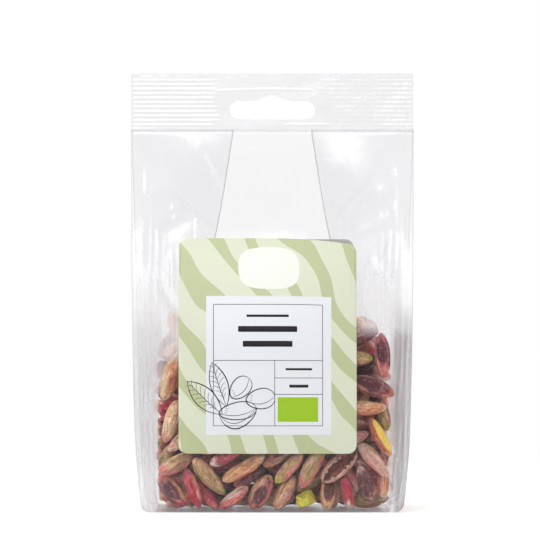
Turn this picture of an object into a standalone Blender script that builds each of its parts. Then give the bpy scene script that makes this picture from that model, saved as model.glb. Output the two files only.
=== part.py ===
"""A clear side-gusset film bag of shelled pistachio kernels, standing on its own base.

The bag has a front and a back panel, two side gussets folded inwards, a flat base and four edge fins
where the plies are sealed together. Above them a ribbed heat seal with a hang hole closes the bag.
A label is stuck on the front and another on the back. The kernels lie loose inside: the ones against
the front panel are objects of their own, and the rest are one lumpy heap behind them.

Frame: origin on the floor under the middle of the bag, +X to the right seen from the front, -Y towards
the viewer, +Z up. Lengths below are in millimetres, and MM turns them into Blender's metres.
"""

import math
import random

import bmesh
import bpy
import numpy as np
from mathutils import Matrix, Vector
from mathutils.geometry import tessellate_polygon

MM = 0.001

# Overall size
BAG_HEIGHT = 168.0
SEAL_HEIGHT = 23.0
BODY_HEIGHT = BAG_HEIGHT - SEAL_HEIGHT
FILM = 0.1  # one ply
BASE_PLIES = 4  # the folded base
CLEAR = 0.3  # gap kept between pieces that touch

# Shape of the body, each as (height, value) points on a smooth curve. A root is where a fin starts.
ROOT_HALF_WIDTH = ((0, 44.8), (8, 45.8), (27, 47.2), (43, 47.8), (69, 48.4), (100, 48.9), (145, 49.7))
FIN = ((0, 2.6), (1.2, 4.2), (3.2, 4.8), (145, 4.8))
HALF_DEPTH = ((0, 24.0), (10, 26.6), (35, 29.0), (60, 28.0), (85, 24.8), (105, 19.6), (125, 11.0), (145, 1.0))
PANEL_CROWN = ((0, 0.4), (15, 2.4), (50, 3.6), (85, 3.2), (115, 1.6), (145, 0.0))
GUSSET_FOLD = ((0, 1.0), (14, 2.0), (27, 3.6), (43, 4.4), (51, 5.6), (62, 11.5), (82, 19.5), (104, 26.8), (145, 34.7))
# Where the gusset folds between the front (-1) and the back (1): the left one lies against the front
# panel low down and crosses to the middle higher up
LEFT_FOLD_PLACE = ((0, -0.86), (38, -0.86), (58, -0.5), (76, 0.0), (145, 0.0))

# Heat seal and its hang hole
SEAL_THICKNESS = 0.4
RIB_PITCH = 1.73
RIB_RISE = 0.22
RIB_COUNT = 11
RIBS_START = BODY_HEIGHT + 2.0
PLAIN_HALF_WIDTH = 23.5  # half the width of the smooth zone around the hole
HOLE_CENTRE = 153.7
HOLE_WIDTH = 33.0
HOLE_BAND = 7.0
HOLE_CROWN_RADIUS = 6.4
HOLE_CROWN_RISE = 2.2

# Labels
LABEL_WIDTH = 67.4
LABEL_BOTTOM = 22.5
LABEL_TOP = 104.1
LABEL_CORNER = 3.2
LABEL_OFFSET = -1.8
LABEL_PAPER = 0.12
FRONT_DROOP = 2.6  # how far the front label's right-hand top corner sits lower, where the film leans back

# Kernels
KERNELS = 325
SEPARATE_KERNELS = 55
KERNEL_HALF_LENGTH = (7.7, 9.6)
KERNEL_RADIUS = (3.8, 4.5)
KERNEL_FLATNESS = 0.92
KERNEL_EASE = 0.975  # drawn this much smaller than its room, so that no two touch
BALL_PLACES = (-0.65, -0.337, 0.0, 0.337, 0.65)  # balls that stand for a kernel while it finds its place
SETTLE_ROUNDS = 1000
SETTLE_SINK = 0.08
LAYER_PITCH = 6.2
HEAP_TOP = (75.0, 0.12, 0.36)  # height in the middle, rise to the right, rise to the back
SEED = 3
HEAP_GRAIN = 2.6
HEAP_SHARE = 0.34

# Kernels laid against the front panel by hand: across, up, lean from level in degrees, half length,
# radius, and how many layers behind the panel
LAID = (
    (-38.2, 51.4, 70, 9.6, 4.2, 0),
    (-39.6, 32.6, 86, 8.6, 3.4, 0),
    (-34.3, 27.4, 60, 8.4, 3.4, 0.3),
    (-41.5, 21.5, 20, 7.6, 3.4, 1),
    (-37.6, 18.7, 27, 7.6, 3.9, 0),
    (-38.3, 9.2, -38, 8.0, 3.9, 0),
    (-29.4, 9.6, -66, 8.0, 3.0, 0.2),
    (-25.6, 14.1, -52, 9.3, 3.7, 0),
    (-24.4, 6.9, -58, 7.0, 3.0, 0.6),
    (-22.5, 4.0, -8, 7.4, 3.2, 1),
    (-16.1, 20.2, 30, 8.4, 3.5, 0.2),
    (-10.7, 16.4, 30, 9.5, 3.7, 0),
    (-9.2, 10.7, 20, 7.0, 3.2, 0.8),
    (-16.1, 8.4, 10, 7.6, 3.3, 1.2),
    (-13.8, 5.0, 35, 7.0, 3.1, 0.2),
    (-34.3, 3.6, 15, 7.0, 3.0, 1),
    (-3.9, 8.1, 68, 7.6, 4.4, 0),
    (4.4, 20.2, 28, 8.4, 3.7, 0.3),
    (7.1, 17.2, 43, 7.8, 3.1, 0),
    (15.5, 16.8, 42, 9.0, 3.9, 0),
    (6.0, 6.9, 48, 7.4, 3.9, 0.2),
    (16.6, 10.7, 25, 8.0, 3.5, 1),
    (13.2, 3.9, 5, 5.0, 3.4, 0),
    (20.8, 6.9, 86, 6.8, 4.0, 0),
    (25.0, 16.4, 40, 9.2, 4.1, 0),
    (28.0, 7.7, 78, 6.6, 3.5, 0),
    (35.2, 11.9, 100, 7.2, 3.9, 0),
    (39.4, 19.1, -27, 9.0, 3.7, 0),
    (40.9, 27.4, -68, 8.6, 3.6, 0),
    (43.4, 25.5, -78, 8.4, 3.2, 0.8),
    (42.8, 11.5, 55, 6.2, 2.8, 0.3),
    (37.5, 4.6, 12, 7.6, 3.3, 0.8),
    (33.7, 65.4, 12, 8.2, 3.7, 0),
    (30.7, 59.3, 5, 7.8, 3.6, 0),
    (34.8, 53.6, 40, 7.4, 3.5, 1),
    (41.7, 59.0, 96, 8.8, 3.9, 0),
    (39.8, 46.4, -10, 8.9, 4.6, 0),
    (36.4, 39.2, -14, 8.5, 3.5, 0),
    (43.0, 35.4, -58, 7.4, 3.5, 0.8),
    (30.3, 33.5, -5, 8.0, 3.3, 0.4),
    (30.3, 27.8, 20, 8.4, 3.5, 0.2),
    (34.1, 24.0, 30, 7.6, 3.3, 1.3),
)
LAID_LAYER = 6.5
LAID_HOLD = 0.03  # how readily a laid kernel gives way, next to a loose one

COLOURS = {
    "film": (0.93, 0.94, 0.95, 1.0),
    "paper": (0.80, 0.84, 0.66, 1.0),
    "back_paper": (0.90, 0.90, 0.89, 1.0),
    "skin": (0.42, 0.22, 0.18, 1.0),
}


def along(table, z):
    """The table's value at height z, on a smooth curve through its points that never overshoots them."""
    heights, values = (np.array(column, float) for column in zip(*table))
    rises = np.diff(values) / np.diff(heights)
    before, after = rises[:-1], rises[1:]
    same_way = before * after > 0
    slopes = np.where(same_way, 2 * before * after / np.where(same_way, before + after, 1.0), 0.0)
    slopes = np.concatenate([rises[:1], slopes, rises[-1:]])
    z = np.clip(z, heights[0], heights[-1])
    k = np.clip(np.searchsorted(heights, z, side="right") - 1, 0, len(heights) - 2)
    span = heights[k + 1] - heights[k]
    t = (z - heights[k]) / span
    rise = values[k + 1] - values[k]
    return (
        values[k]
        + slopes[k] * span * t * (1 - t) * (1 - t)
        + rise * t * t * (3 - 2 * t)
        + slopes[k + 1] * span * t * t * (t - 1)
    )


def edge_half_depth(z):
    """Half the bag's depth at the fins. The panels stand prouder than this in their middle."""
    return along(HALF_DEPTH, z) - along(PANEL_CROWN, z)


def panel_depth(x, z):
    """How far the front or back panel's outer face is from the middle plane."""
    across = np.clip(x / along(ROOT_HALF_WIDTH, z), -1, 1)
    return edge_half_depth(z) + along(PANEL_CROWN, z) * (1 - across * across)


def fold_place(z, left):
    """The gusset fold's place from front to back: the right one is in the middle all the way up."""
    return np.where(left, along(LEFT_FOLD_PLACE, z), 0.0) * edge_half_depth(z)


def gusset_reach(x, y, z):
    """How far from the middle the gusset's outer face is, on the side x is on."""
    deep = edge_half_depth(z)
    crease = fold_place(z, x < 0)
    ahead = np.clip((y + deep) / (crease + deep), 0, 1)
    behind = np.clip((deep - y) / (deep - crease), 0, 1)
    return along(ROOT_HALF_WIDTH, z) - along(GUSSET_FOLD, z) * np.where(y < crease, ahead, behind)


# ---------------------------------------------------------------- mesh helpers


def clear_scene():
    for obj in list(bpy.data.objects):
        bpy.data.objects.remove(obj, do_unlink=True)


def material(name, colour, roughness, alpha=1.0):
    made = bpy.data.materials.new(name)
    made.use_nodes = True
    shader = made.node_tree.nodes["Principled BSDF"]
    shader.inputs["Base Color"].default_value = colour
    shader.inputs["Roughness"].default_value = roughness
    shader.inputs["Metallic"].default_value = 0.0
    shader.inputs["Alpha"].default_value = alpha
    return made


def add_object(name, vertices, faces, look=None):
    """A mesh object from points in millimetres."""
    mesh = bpy.data.meshes.new(name)
    mesh.from_pydata([tuple(np.array(v, float) * MM) for v in vertices], [], faces)
    mesh.validate()
    obj = bpy.data.objects.new(name, mesh)
    bpy.context.scene.collection.objects.link(obj)
    if look:
        mesh.materials.append(look)
    return obj


def face_outwards(obj):
    shape = bmesh.new()
    shape.from_mesh(obj.data)
    bmesh.ops.recalc_face_normals(shape, faces=shape.faces)
    shape.to_mesh(obj.data)
    shape.free()


def extruded(name, outline, y_low, y_high, look=None):
    """A flat outline in X and Z, given thickness along Y."""
    n = len(outline)
    vertices = [(x, y, z) for y in (y_low, y_high) for x, z in outline]
    faces = [tuple(range(n)), tuple(range(2 * n - 1, n - 1, -1))]
    faces += [(i, n + i, n + (i + 1) % n, (i + 1) % n) for i in range(n)]
    obj = add_object(name, vertices, faces, look)
    face_outwards(obj)
    return obj


def as_cutter(obj):
    obj.hide_render = True
    obj.display_type = "WIRE"
    return obj


def cut(obj, cutter):
    boolean = obj.modifiers.new("cut_" + cutter.name, "BOOLEAN")
    boolean.operation = "DIFFERENCE"
    boolean.solver = "EXACT"
    boolean.object = as_cutter(cutter)


# ---------------------------------------------------------------- the bag


def gusset_line(z, left, inset):
    """The gusset's section from front to back with x taken positive, moved into the bag by inset."""
    root, fold = float(along(ROOT_HALF_WIDTH, z)), float(along(GUSSET_FOLD, z))
    deep = float(edge_half_depth(z)) - 2 * FILM
    crease = float(fold_place(z, left))
    points = []
    for end, shares in ((-deep, (0.3, 0.65)), (deep, (0.65, 0.3))):
        slant = math.hypot(fold, crease - end)
        off_x, off_y = inset * abs(crease - end) / slant, inset * fold / slant
        off_y = off_y if end < 0 else -off_y
        points += [(root - fold * s - off_x, end + (crease - end) * s - off_y) for s in shares]
        if end < 0:
            points.append((root - fold - 2 * inset, crease))
    return points


def outer_section(z):
    """The bag's outer outline at height z, anticlockwise from the front left fin root: front panel,
    right fins and gusset, back panel, left fins and gusset."""
    root = float(along(ROOT_HALF_WIDTH, z))
    tip = root + float(along(FIN, z))
    deep = float(edge_half_depth(z))
    sides = []
    for left in (False, True):
        side = [(tip, -deep), (tip, 2 * FILM - deep), (root, 2 * FILM - deep)]
        side += gusset_line(z, left, 0.0)
        sides.append(side + [(root, deep - 2 * FILM), (tip, deep - 2 * FILM), (tip, deep)])
    across = np.linspace(-root, root, 9)
    front = [(x, -float(panel_depth(x, z))) for x in across]
    back = [(x, float(panel_depth(x, z))) for x in across[::-1]]
    return front + sides[0] + back + [(-x, y) for x, y in sides[1][::-1]]


def inner_section(z):
    """The outline of the space inside the bag at height z, one ply inside the panels and gussets."""
    root = float(along(ROOT_HALF_WIDTH, z))
    across = np.linspace(-root, root, 9)
    front = [(x * (root - FILM) / root, FILM - float(panel_depth(x, z))) for x in across]
    back = [(x, -y) for x, y in front[::-1]]
    right, left = gusset_line(z, False, FILM), gusset_line(z, True, FILM)
    return front + right + back + [(-x, y) for x, y in left[::-1]]


def make_film(look):
    """The bag below its heat seal: one thin shell with a flat base, open only as a slit at the top,
    where the seal's plies meet."""
    heights = [0, 1.2, 3.2, 9, 18, 30, 42, 53, 64, 76, 88, 99, 110, 121, 133, BODY_HEIGHT - CLEAR]
    outer = [[(x, y, z) for x, y in outer_section(z)] for z in heights]
    floor = BASE_PLIES * FILM
    inner_heights = [floor] + heights[1:]
    inner = [[(x, y, z) for x, y in inner_section(z)] for z in inner_heights]
    n_out, n_in = len(outer[0]), len(inner[0])
    vertices = [v for ring in outer for v in ring] + [v for ring in inner for v in ring]
    start = n_out * len(heights)
    faces = [tuple(range(n_out))[::-1], tuple(start + i for i in range(n_in))]
    for ring in range(len(heights) - 1):
        for i in range(n_out):
            j = (i + 1) % n_out
            a, b = ring * n_out, (ring + 1) * n_out
            faces += [(a + i, a + j, b + j), (a + i, b + j, b + i)]
        # The same diagonals as outside, so that the two skins of a twisted wall never cross
        for i in range(n_in):
            j = (i + 1) % n_in
            a, b = start + ring * n_in, start + (ring + 1) * n_in
            faces += [(a + j, a + i, b + j), (b + j, a + i, b + i)]
    # The rim between the two outlines at the top
    top_out, top_in = outer[-1], inner[-1]
    ring_ids = [(len(heights) - 1) * n_out + i for i in range(n_out)]
    ring_ids += [start + (len(heights) - 1) * n_in + i for i in range(n_in)]
    loops = [[Vector(v) for v in top_out], [Vector(v) for v in top_in[::-1]]]
    ring_ids[n_out:] = ring_ids[n_out:][::-1]
    for triangle in tessellate_polygon(loops):
        faces.append(tuple(ring_ids[k] for k in triangle))
    obj = add_object("bag_film", vertices, faces, look)
    face_outwards(obj)
    return obj


def rib_profile():
    """The seal's section in Y and Z: a flat strip with ridges pressed into both faces."""
    half = SEAL_THICKNESS / 2
    side = [(half, BODY_HEIGHT)]
    for k in range(RIB_COUNT):
        z = RIBS_START + k * RIB_PITCH
        side += [(half, z), (half + RIB_RISE, z + RIB_PITCH * 0.3), (half, z + RIB_PITCH * 0.6)]
    side.append((half, BAG_HEIGHT))
    return side + [(-y, z) for y, z in side[::-1]]


def hang_hole_outline():
    """A slot with round ends and a raised middle, as display pegs take."""
    r = HOLE_BAND / 2
    reach = HOLE_WIDTH / 2 - r
    points = []
    for k in range(9):
        a = -math.pi / 2 + math.pi * k / 8
        points.append((reach + r * math.cos(a), HOLE_CENTRE + r * math.sin(a)))
    for k in range(9):
        a = math.pi * (0.12 + 0.76 * k / 8)
        x = HOLE_CROWN_RADIUS * math.cos(a)
        rise = HOLE_CROWN_RISE * math.sin(math.pi * (k + 1) / 10)
        points.append((x, HOLE_CENTRE + r + rise))
    for k in range(9):
        a = math.pi / 2 + math.pi * k / 8
        points.append((-reach + r * math.cos(a), HOLE_CENTRE + r * math.sin(a)))
    return points


def make_seal(look):
    """The fused strip at the top: ribbed, smooth around the hang hole."""
    profile = rib_profile()
    n = len(profile)
    half_width = float(along(ROOT_HALF_WIDTH, BODY_HEIGHT) + along(FIN, BODY_HEIGHT))
    vertices = [(x, y, z) for x in (-half_width, half_width) for y, z in profile]
    faces = [tuple(range(n)), tuple(range(2 * n - 1, n - 1, -1))]
    faces += [(i, n + i, n + (i + 1) % n, (i + 1) % n) for i in range(n)]
    seal = add_object("heat_seal", vertices, faces, look)
    face_outwards(seal)
    w, low, high = PLAIN_HALF_WIDTH, BODY_HEIGHT + 0.5, BAG_HEIGHT - 2.6
    zone = [(-w, low), (w, low), (w, high), (-w, high)]
    half = SEAL_THICKNESS / 2
    for name, y0, y1 in (("planer_front", -2.0, -half), ("planer_back", half, 2.0)):
        cut(seal, extruded(name, zone, y0, y1))
    cut(seal, extruded("hang_hole", hang_hole_outline(), -2.0, 2.0))
    return seal


def label_rows():
    """(height, half width) of a label from bottom to top, its corners rounded."""
    rows = []
    turns = [math.pi / 2 * k / 4 for k in range(5)]
    for a in turns:
        rows.append((LABEL_BOTTOM + LABEL_CORNER * (1 - math.cos(a)), LABEL_CORNER * (1 - math.sin(a))))
    for k in range(1, 10):
        low, high = LABEL_BOTTOM + LABEL_CORNER, LABEL_TOP - LABEL_CORNER
        rows.append((low + (high - low) * k / 10, 0.0))
    for a in turns[::-1]:
        rows.append((LABEL_TOP - LABEL_CORNER * (1 - math.cos(a)), LABEL_CORNER * (1 - math.sin(a))))
    return [(z, LABEL_WIDTH / 2 - inset) for z, inset in rows]


def make_label(name, side, droop, look):
    """A paper sticker that follows the panel, side -1 on the front and +1 on the back."""
    rows = label_rows()
    across = np.linspace(-1, 1, 13)
    sheets = []
    for stand_off in (CLEAR, CLEAR + LABEL_PAPER):
        for z, half in rows:
            for u in across:
                x = LABEL_OFFSET + u * half
                share = max(0.0, (z - LABEL_BOTTOM) / (LABEL_TOP - LABEL_BOTTOM))
                lean = max(0.0, u) ** 2 * droop * share**3
                y = side * (float(panel_depth(x, z - lean)) + stand_off)
                sheets.append((x, y, z - lean))
    m, n = len(across), len(rows)
    faces = []
    for r in range(n - 1):
        for c in range(m - 1):
            a = r * m + c
            quad = (a, a + 1, a + m + 1, a + m)
            faces += [quad[::-1], tuple(n * m + k for k in quad)]
    edge = [c for c in range(m)]
    edge += [r * m + m - 1 for r in range(1, n)]
    edge += [(n - 1) * m + c for c in range(m - 2, -1, -1)]
    edge += [r * m for r in range(n - 2, 0, -1)]
    for a, b in zip(edge, edge[1:] + edge[:1]):
        faces.append((a, b, n * m + b, n * m + a))
    obj = add_object(name, sheets, faces, look)
    face_outwards(obj)
    return obj


# ---------------------------------------------------------------- the kernels


def turned(axis, normal):
    """axis x normal, row by row."""
    return np.stack(
        [
            axis[:, 1] * normal[:, 2] - axis[:, 2] * normal[:, 1],
            axis[:, 2] * normal[:, 0] - axis[:, 0] * normal[:, 2],
            axis[:, 0] * normal[:, 1] - axis[:, 1] * normal[:, 0],
        ],
        axis=1,
    )


def length_of(rows):
    return np.sqrt(rows[:, 0] ** 2 + rows[:, 1] ** 2 + rows[:, 2] ** 2)


def above_floor(x, y, z):
    return z - BASE_PLIES * FILM


def inside_panels(x, y, z):
    return panel_depth(x, z) - FILM - np.abs(y)


def inside_gussets(x, y, z):
    return gusset_reach(x, y, z) - 2 * FILM - np.abs(x)


def under_top(x, y, z):
    """Keeps the heap's top sloping: lowest at the front left, highest along the back."""
    return HEAP_TOP[0] + HEAP_TOP[1] * x + HEAP_TOP[2] * y - z


def room_from(wall, points):
    """Distance of points from a wall of the bag and the direction away from it."""
    x, y, z = points[:, 0], points[:, 1], np.clip(points[:, 2], 0.3, BODY_HEIGHT - 0.3)
    step = 0.25
    away = np.stack(
        [
            wall(x + step, y, z) - wall(x - step, y, z),
            wall(x, y + step, z) - wall(x, y - step, z),
            wall(x, y, z + step) - wall(x, y, z - step),
        ],
        axis=1,
    ) / (2 * step)
    steepness = length_of(away)
    return wall(x, y, points[:, 2] if wall is above_floor else z) / steepness, away / steepness[:, None]


def scattered(rng):
    """Where the kernels start: the laid ones against the front panel, the others in loose layers,
    each with its own tilt and size."""
    draws = np.array([[rng.random() for _ in range(9)] for _ in range(KERNELS)])
    columns, ranks = 6, 5
    order = np.arange(KERNELS)
    cell = order % (columns * ranks)
    layer = order // (columns * ranks)
    places = np.stack(
        [
            (cell % columns - (columns - 1) / 2) * 15.0 + (draws[:, 0] - 0.5) * 6,
            (cell // columns - (ranks - 1) / 2) * 10.0 + (draws[:, 1] - 0.5) * 3,
            6.0 + layer * LAYER_PITCH + (draws[:, 2] - 0.5) * 3,
        ],
        axis=1,
    )
    axes = draws[:, 3:6] * 2 - 1
    axes[:, 2] *= 0.7
    axes /= length_of(axes)[:, None]
    halves = KERNEL_HALF_LENGTH[0] + (KERNEL_HALF_LENGTH[1] - KERNEL_HALF_LENGTH[0]) * draws[:, 6]
    radii = KERNEL_RADIUS[0] + (KERNEL_RADIUS[1] - KERNEL_RADIUS[0]) * draws[:, 7]
    for k, (x, z, lean, half, radius, layers) in enumerate(LAID):
        y = radius + 0.5 + layers * LAID_LAYER - float(panel_depth(x, z))
        places[k] = (x, y, z)
        axes[k] = (math.cos(math.radians(lean)), 0.0, math.sin(math.radians(lean)))
        halves[k], radii[k] = half, radius
    return places, np.round(axes, 8), halves, radii, draws[:, 8]


def settled():
    """Places, axes, half lengths, radii and rolls of all kernels after they have sunk and pushed each
    other apart.

    Each kernel is a row of balls inscribed in it. In each round it sinks a little, less and less, and
    then every pair of balls that overlap, and every ball that crosses the film, moves its kernels apart
    and turns them. The laid kernels are drawn back to their places meanwhile. Rounding each round keeps
    the result the same on any machine."""
    places, axes, halves, radii, rolls = scattered(random.Random(SEED))
    balls = len(BALL_PLACES)
    at = np.array(BALL_PLACES)[None, :] * halves[:, None]
    ball = radii[:, None] * np.sqrt(1 - at**2 / (halves**2 - radii**2)[:, None])
    inertia = 22.0
    owner = np.repeat(np.arange(KERNELS), balls)
    laid = len(LAID)
    home, home_axes = places[:laid].copy(), axes[:laid].copy()
    give = np.ones(KERNELS)
    give[:laid] = LAID_HOLD

    def weight(body, where, normal):
        turn = turned(axes[body], normal)
        return give[body] * (1 + (turn[:, 0] ** 2 + turn[:, 1] ** 2 + turn[:, 2] ** 2) * where**2 / inertia)

    for round_ in range(SETTLE_ROUNDS):
        if round_ % 12 == 0:
            gap = places[:, None, :] - places[None, :, :]
            near = gap[..., 0] ** 2 + gap[..., 1] ** 2 + gap[..., 2] ** 2 < 21.5**2
            first, second = np.nonzero(np.triu(near, 1))
            one = np.repeat(first, balls * balls)
            two = np.repeat(second, balls * balls)
            ball_one = np.tile(np.repeat(np.arange(balls), balls), len(first))
            ball_two = np.tile(np.arange(balls), len(first) * balls)
        pull = max(0.0, 1 - round_ / (SETTLE_ROUNDS * 0.55))
        places[laid:, 2] -= SETTLE_SINK * pull
        places[:laid] += (home - places[:laid]) * (0.1 * pull)
        axes[:laid] += (home_axes - axes[:laid]) * (0.1 * pull)
        centres = places[:, None, :] + at[:, :, None] * axes[:, None, :]
        apart = centres[one, ball_one] - centres[two, ball_two]
        reach = ball[one, ball_one] + ball[two, ball_two] + CLEAR + 0.05
        squared = apart[:, 0] ** 2 + apart[:, 1] ** 2 + apart[:, 2] ** 2
        hit = squared < reach**2
        distance = np.sqrt(squared[hit]) + 1e-9
        normal = apart[hit] / distance[:, None]
        body_one, body_two = one[hit], two[hit]
        at_one, at_two = at[body_one, ball_one[hit]], at[body_two, ball_two[hit]]
        share = (reach[hit] - distance) / (
            weight(body_one, at_one, normal) + weight(body_two, at_two, normal)
        )
        pushes = [(body_one, at_one, normal, share), (body_two, at_two, -normal, share)]

        flat = centres.reshape(-1, 3)
        for wall in (above_floor, inside_panels, inside_gussets, under_top):
            room, away = room_from(wall, flat)
            pressed = room < ball.reshape(-1) + CLEAR + 0.05
            depth = (ball.reshape(-1) + CLEAR + 0.05 - room)[pressed]
            body, where, normal = owner[pressed], at.reshape(-1)[pressed], away[pressed]
            pushes.append((body, where, normal, depth / weight(body, where, normal)))

        move, turn, touches = np.zeros((KERNELS, 3)), np.zeros((KERNELS, 3)), np.zeros(KERNELS)
        for body, where, normal, share in pushes:
            twist = turned(axes[body], normal) * (where * share / inertia)[:, None]
            for k in range(3):
                move[:, k] += np.bincount(body, weights=normal[:, k] * share, minlength=KERNELS)
                turn[:, k] += np.bincount(body, weights=twist[:, k], minlength=KERNELS)
            touches += np.bincount(body, minlength=KERNELS)
        ease = (1.2 * give / np.sqrt(np.maximum(touches, 1.0)))[:, None]
        places += move * ease
        axes += turned(turn * ease, axes)
        axes /= length_of(axes)[:, None]
        places, axes = np.round(places, 6), np.round(axes, 8)
    return places, axes, halves, radii, rolls


def kernel_matrix(place, axis, roll, half, radius):
    """Turns a unit kernel lying along X to its axis, rolls it, sizes it and moves it to its place."""
    turn = Vector(axis).to_track_quat("X", "Z").to_matrix().to_4x4()
    size = Matrix.Diagonal((half, radius, radius * KERNEL_FLATNESS, 1.0))
    roll = Matrix.Rotation(2 * math.pi * float(roll), 4, "X")
    return Matrix.Translation(Vector(place) * MM) @ turn @ roll @ size


def kernel_mesh(name, look, segments=8, rings=6):
    """A kernel one unit in half length and radius, lying along X and blunter at one end."""
    vertices = [(-1.0, 0.0, 0.0)]
    for k in range(rings):
        t = -math.cos(math.pi * (k + 1) / (rings + 1))
        radius = math.sqrt(1 - t * t) * (0.97 - 0.03 * t)
        for s in range(segments):
            a = 2 * math.pi * s / segments
            vertices.append((t, radius * math.cos(a), radius * math.sin(a)))
    vertices.append((1.0, 0.0, 0.0))
    last = len(vertices) - 1
    faces = []
    for s in range(segments):
        t = (s + 1) % segments
        faces.append((0, 1 + t, 1 + s))
        for k in range(rings - 1):
            a, b = 1 + k * segments, 1 + (k + 1) * segments
            faces.append((a + s, a + t, b + t, b + s))
        end = 1 + (rings - 1) * segments
        faces.append((end + s, end + t, last))
    mesh = bpy.data.meshes.new(name)
    mesh.from_pydata([tuple(np.array(v) * MM) for v in vertices], [], faces)
    mesh.materials.append(look)
    shape = bmesh.new()
    shape.from_mesh(mesh)
    bmesh.ops.recalc_face_normals(shape, faces=shape.faces)
    shape.to_mesh(mesh)
    shape.free()
    mesh.shade_smooth()
    return mesh


def place_kernel(name, mesh, matrix):
    obj = bpy.data.objects.new(name, mesh)
    bpy.context.scene.collection.objects.link(obj)
    obj.matrix_world = matrix
    return obj


def largest_body(obj):
    """Keeps the largest closed body of a mesh: drops loose crumbs and sealed bubbles."""
    shape = bmesh.new()
    shape.from_mesh(obj.data)
    bmesh.ops.triangulate(shape, faces=shape.faces)
    seen, bodies = set(), []
    for start in shape.verts:
        if start in seen:
            continue
        seen.add(start)
        stack, body = [start], []
        while stack:
            vert = stack.pop()
            body.append(vert)
            for edge in vert.link_edges:
                other = edge.other_vert(vert)
                if other not in seen:
                    seen.add(other)
                    stack.append(other)
        bodies.append(body)
    bodies.sort(key=len)
    bmesh.ops.delete(shape, geom=[v for body in bodies[:-1] for v in body], context="VERTS")
    shape.to_mesh(obj.data)
    shape.free()


def baked(obj):
    """Replaces an object's mesh with what its modifiers make of it."""
    bpy.context.view_layer.update()
    graph = bpy.context.evaluated_depsgraph_get()
    result = bpy.data.meshes.new_from_object(obj.evaluated_get(graph))
    obj.modifiers.clear()
    obj.data = result


def make_heap(matrices, rest, front, look):
    """The kernels behind the front ones, grown together into one lumpy body: a low-detail kernel at
    each place over a solid middle, remeshed as one skin, with room cut for the front kernels."""
    kernel = kernel_mesh("heap_kernel", look, segments=6, rings=4)
    shape = bmesh.new()
    for k in rest:
        grain = kernel.copy()
        grain.transform(matrices[k])
        shape.from_mesh(grain)
        bpy.data.meshes.remove(grain)
    middle = [(-36, 3), (36, 3), (38, 30), (37, 52), (24, 60), (-22, 60), (-36, 50), (-38, 30)]
    block = extruded("heap_middle", middle, -13.0, 20.0)
    shape.from_mesh(block.data)
    bpy.data.objects.remove(block)
    mesh = bpy.data.meshes.new("kernel_heap")
    shape.to_mesh(mesh)
    shape.free()
    mesh.materials.append(look)
    heap = bpy.data.objects.new("kernel_heap", mesh)
    bpy.context.scene.collection.objects.link(heap)
    remesh = heap.modifiers.new("one_skin", "REMESH")
    remesh.mode = "VOXEL"
    remesh.voxel_size = HEAP_GRAIN * MM
    coarser = heap.modifiers.new("coarser", "DECIMATE")
    coarser.ratio = HEAP_SHARE
    baked(heap)
    largest_body(heap)
    cutter_mesh = kernel_mesh("front_room", look, segments=8, rings=4)
    rooms = []
    for k in front:
        rooms.append(place_kernel(f"room_{k}", cutter_mesh, matrices[k] @ Matrix.Scale(1.14, 4)))
        cut(heap, rooms[-1])
    baked(heap)
    largest_body(heap)
    for room in rooms:
        bpy.data.objects.remove(room)
    return heap


def make_kernels(look):
    places, axes, halves, radii, rolls = settled()
    matrices = [
        kernel_matrix(places[k], axes[k], rolls[k], float(halves[k]), float(radii[k])) for k in range(KERNELS)
    ]
    behind_film = panel_depth(places[:, 0], places[:, 2]) + places[:, 1]
    behind_film[: len(LAID)] -= 100
    order = np.argsort(behind_film, kind="stable")
    front = sorted(int(k) for k in order[:SEPARATE_KERNELS])
    rest = sorted(int(k) for k in order[SEPARATE_KERNELS:])
    mesh = kernel_mesh("kernel", look)
    for number, k in enumerate(front, start=1):
        place_kernel(f"kernel_{number:02d}", mesh, matrices[k] @ Matrix.Scale(KERNEL_EASE, 4))
    make_heap(matrices, rest, front, look)


def main():
    clear_scene()
    film = material("clear_film", COLOURS["film"], 0.12, alpha=0.25)
    make_film(film)
    make_seal(film)
    make_label("front_label", -1, FRONT_DROOP, material("label_paper", COLOURS["paper"], 0.5))
    make_label("back_label", 1, 0.0, material("back_label_paper", COLOURS["back_paper"], 0.5))
    make_kernels(material("kernel_skin", COLOURS["skin"], 0.6))


main()
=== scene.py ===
"""A clear side-gusset film bag of shelled pistachio kernels: its looks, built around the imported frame.

Frame: origin on the floor under the middle of the bag, +X to the right seen from the front, -Y towards
the viewer, +Z up. Shapes are worked out in millimetres, and MM turns them into Blender's metres.
"""

import math
import random

import bpy
import numpy as np
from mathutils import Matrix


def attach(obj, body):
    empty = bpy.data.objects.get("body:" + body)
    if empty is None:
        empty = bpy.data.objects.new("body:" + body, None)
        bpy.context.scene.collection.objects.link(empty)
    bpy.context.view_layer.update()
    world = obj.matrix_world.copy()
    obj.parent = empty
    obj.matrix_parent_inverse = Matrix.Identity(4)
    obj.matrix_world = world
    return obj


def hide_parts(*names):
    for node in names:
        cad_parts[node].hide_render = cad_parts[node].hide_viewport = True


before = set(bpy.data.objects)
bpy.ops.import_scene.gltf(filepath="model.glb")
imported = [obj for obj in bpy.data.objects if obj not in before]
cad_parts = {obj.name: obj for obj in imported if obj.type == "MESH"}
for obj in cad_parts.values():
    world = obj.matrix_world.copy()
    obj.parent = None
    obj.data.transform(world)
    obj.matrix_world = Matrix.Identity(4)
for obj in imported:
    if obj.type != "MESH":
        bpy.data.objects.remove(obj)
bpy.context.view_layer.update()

# ---------------------------------------------------------------- the camera
# Straight in front of the bag, a little above its middle, with a long lens as for a catalogue.

scene = bpy.context.scene
lens = bpy.data.cameras.new("camera")
lens.sensor_width = 36.0
lens.lens = 241.8
camera = bpy.data.objects.new("camera", lens)
camera.location = (-0.0009, -1.4, 0.092)
camera.rotation_euler = (math.radians(90), 0, 0)
scene.collection.objects.link(camera)
scene.camera = camera

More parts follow.
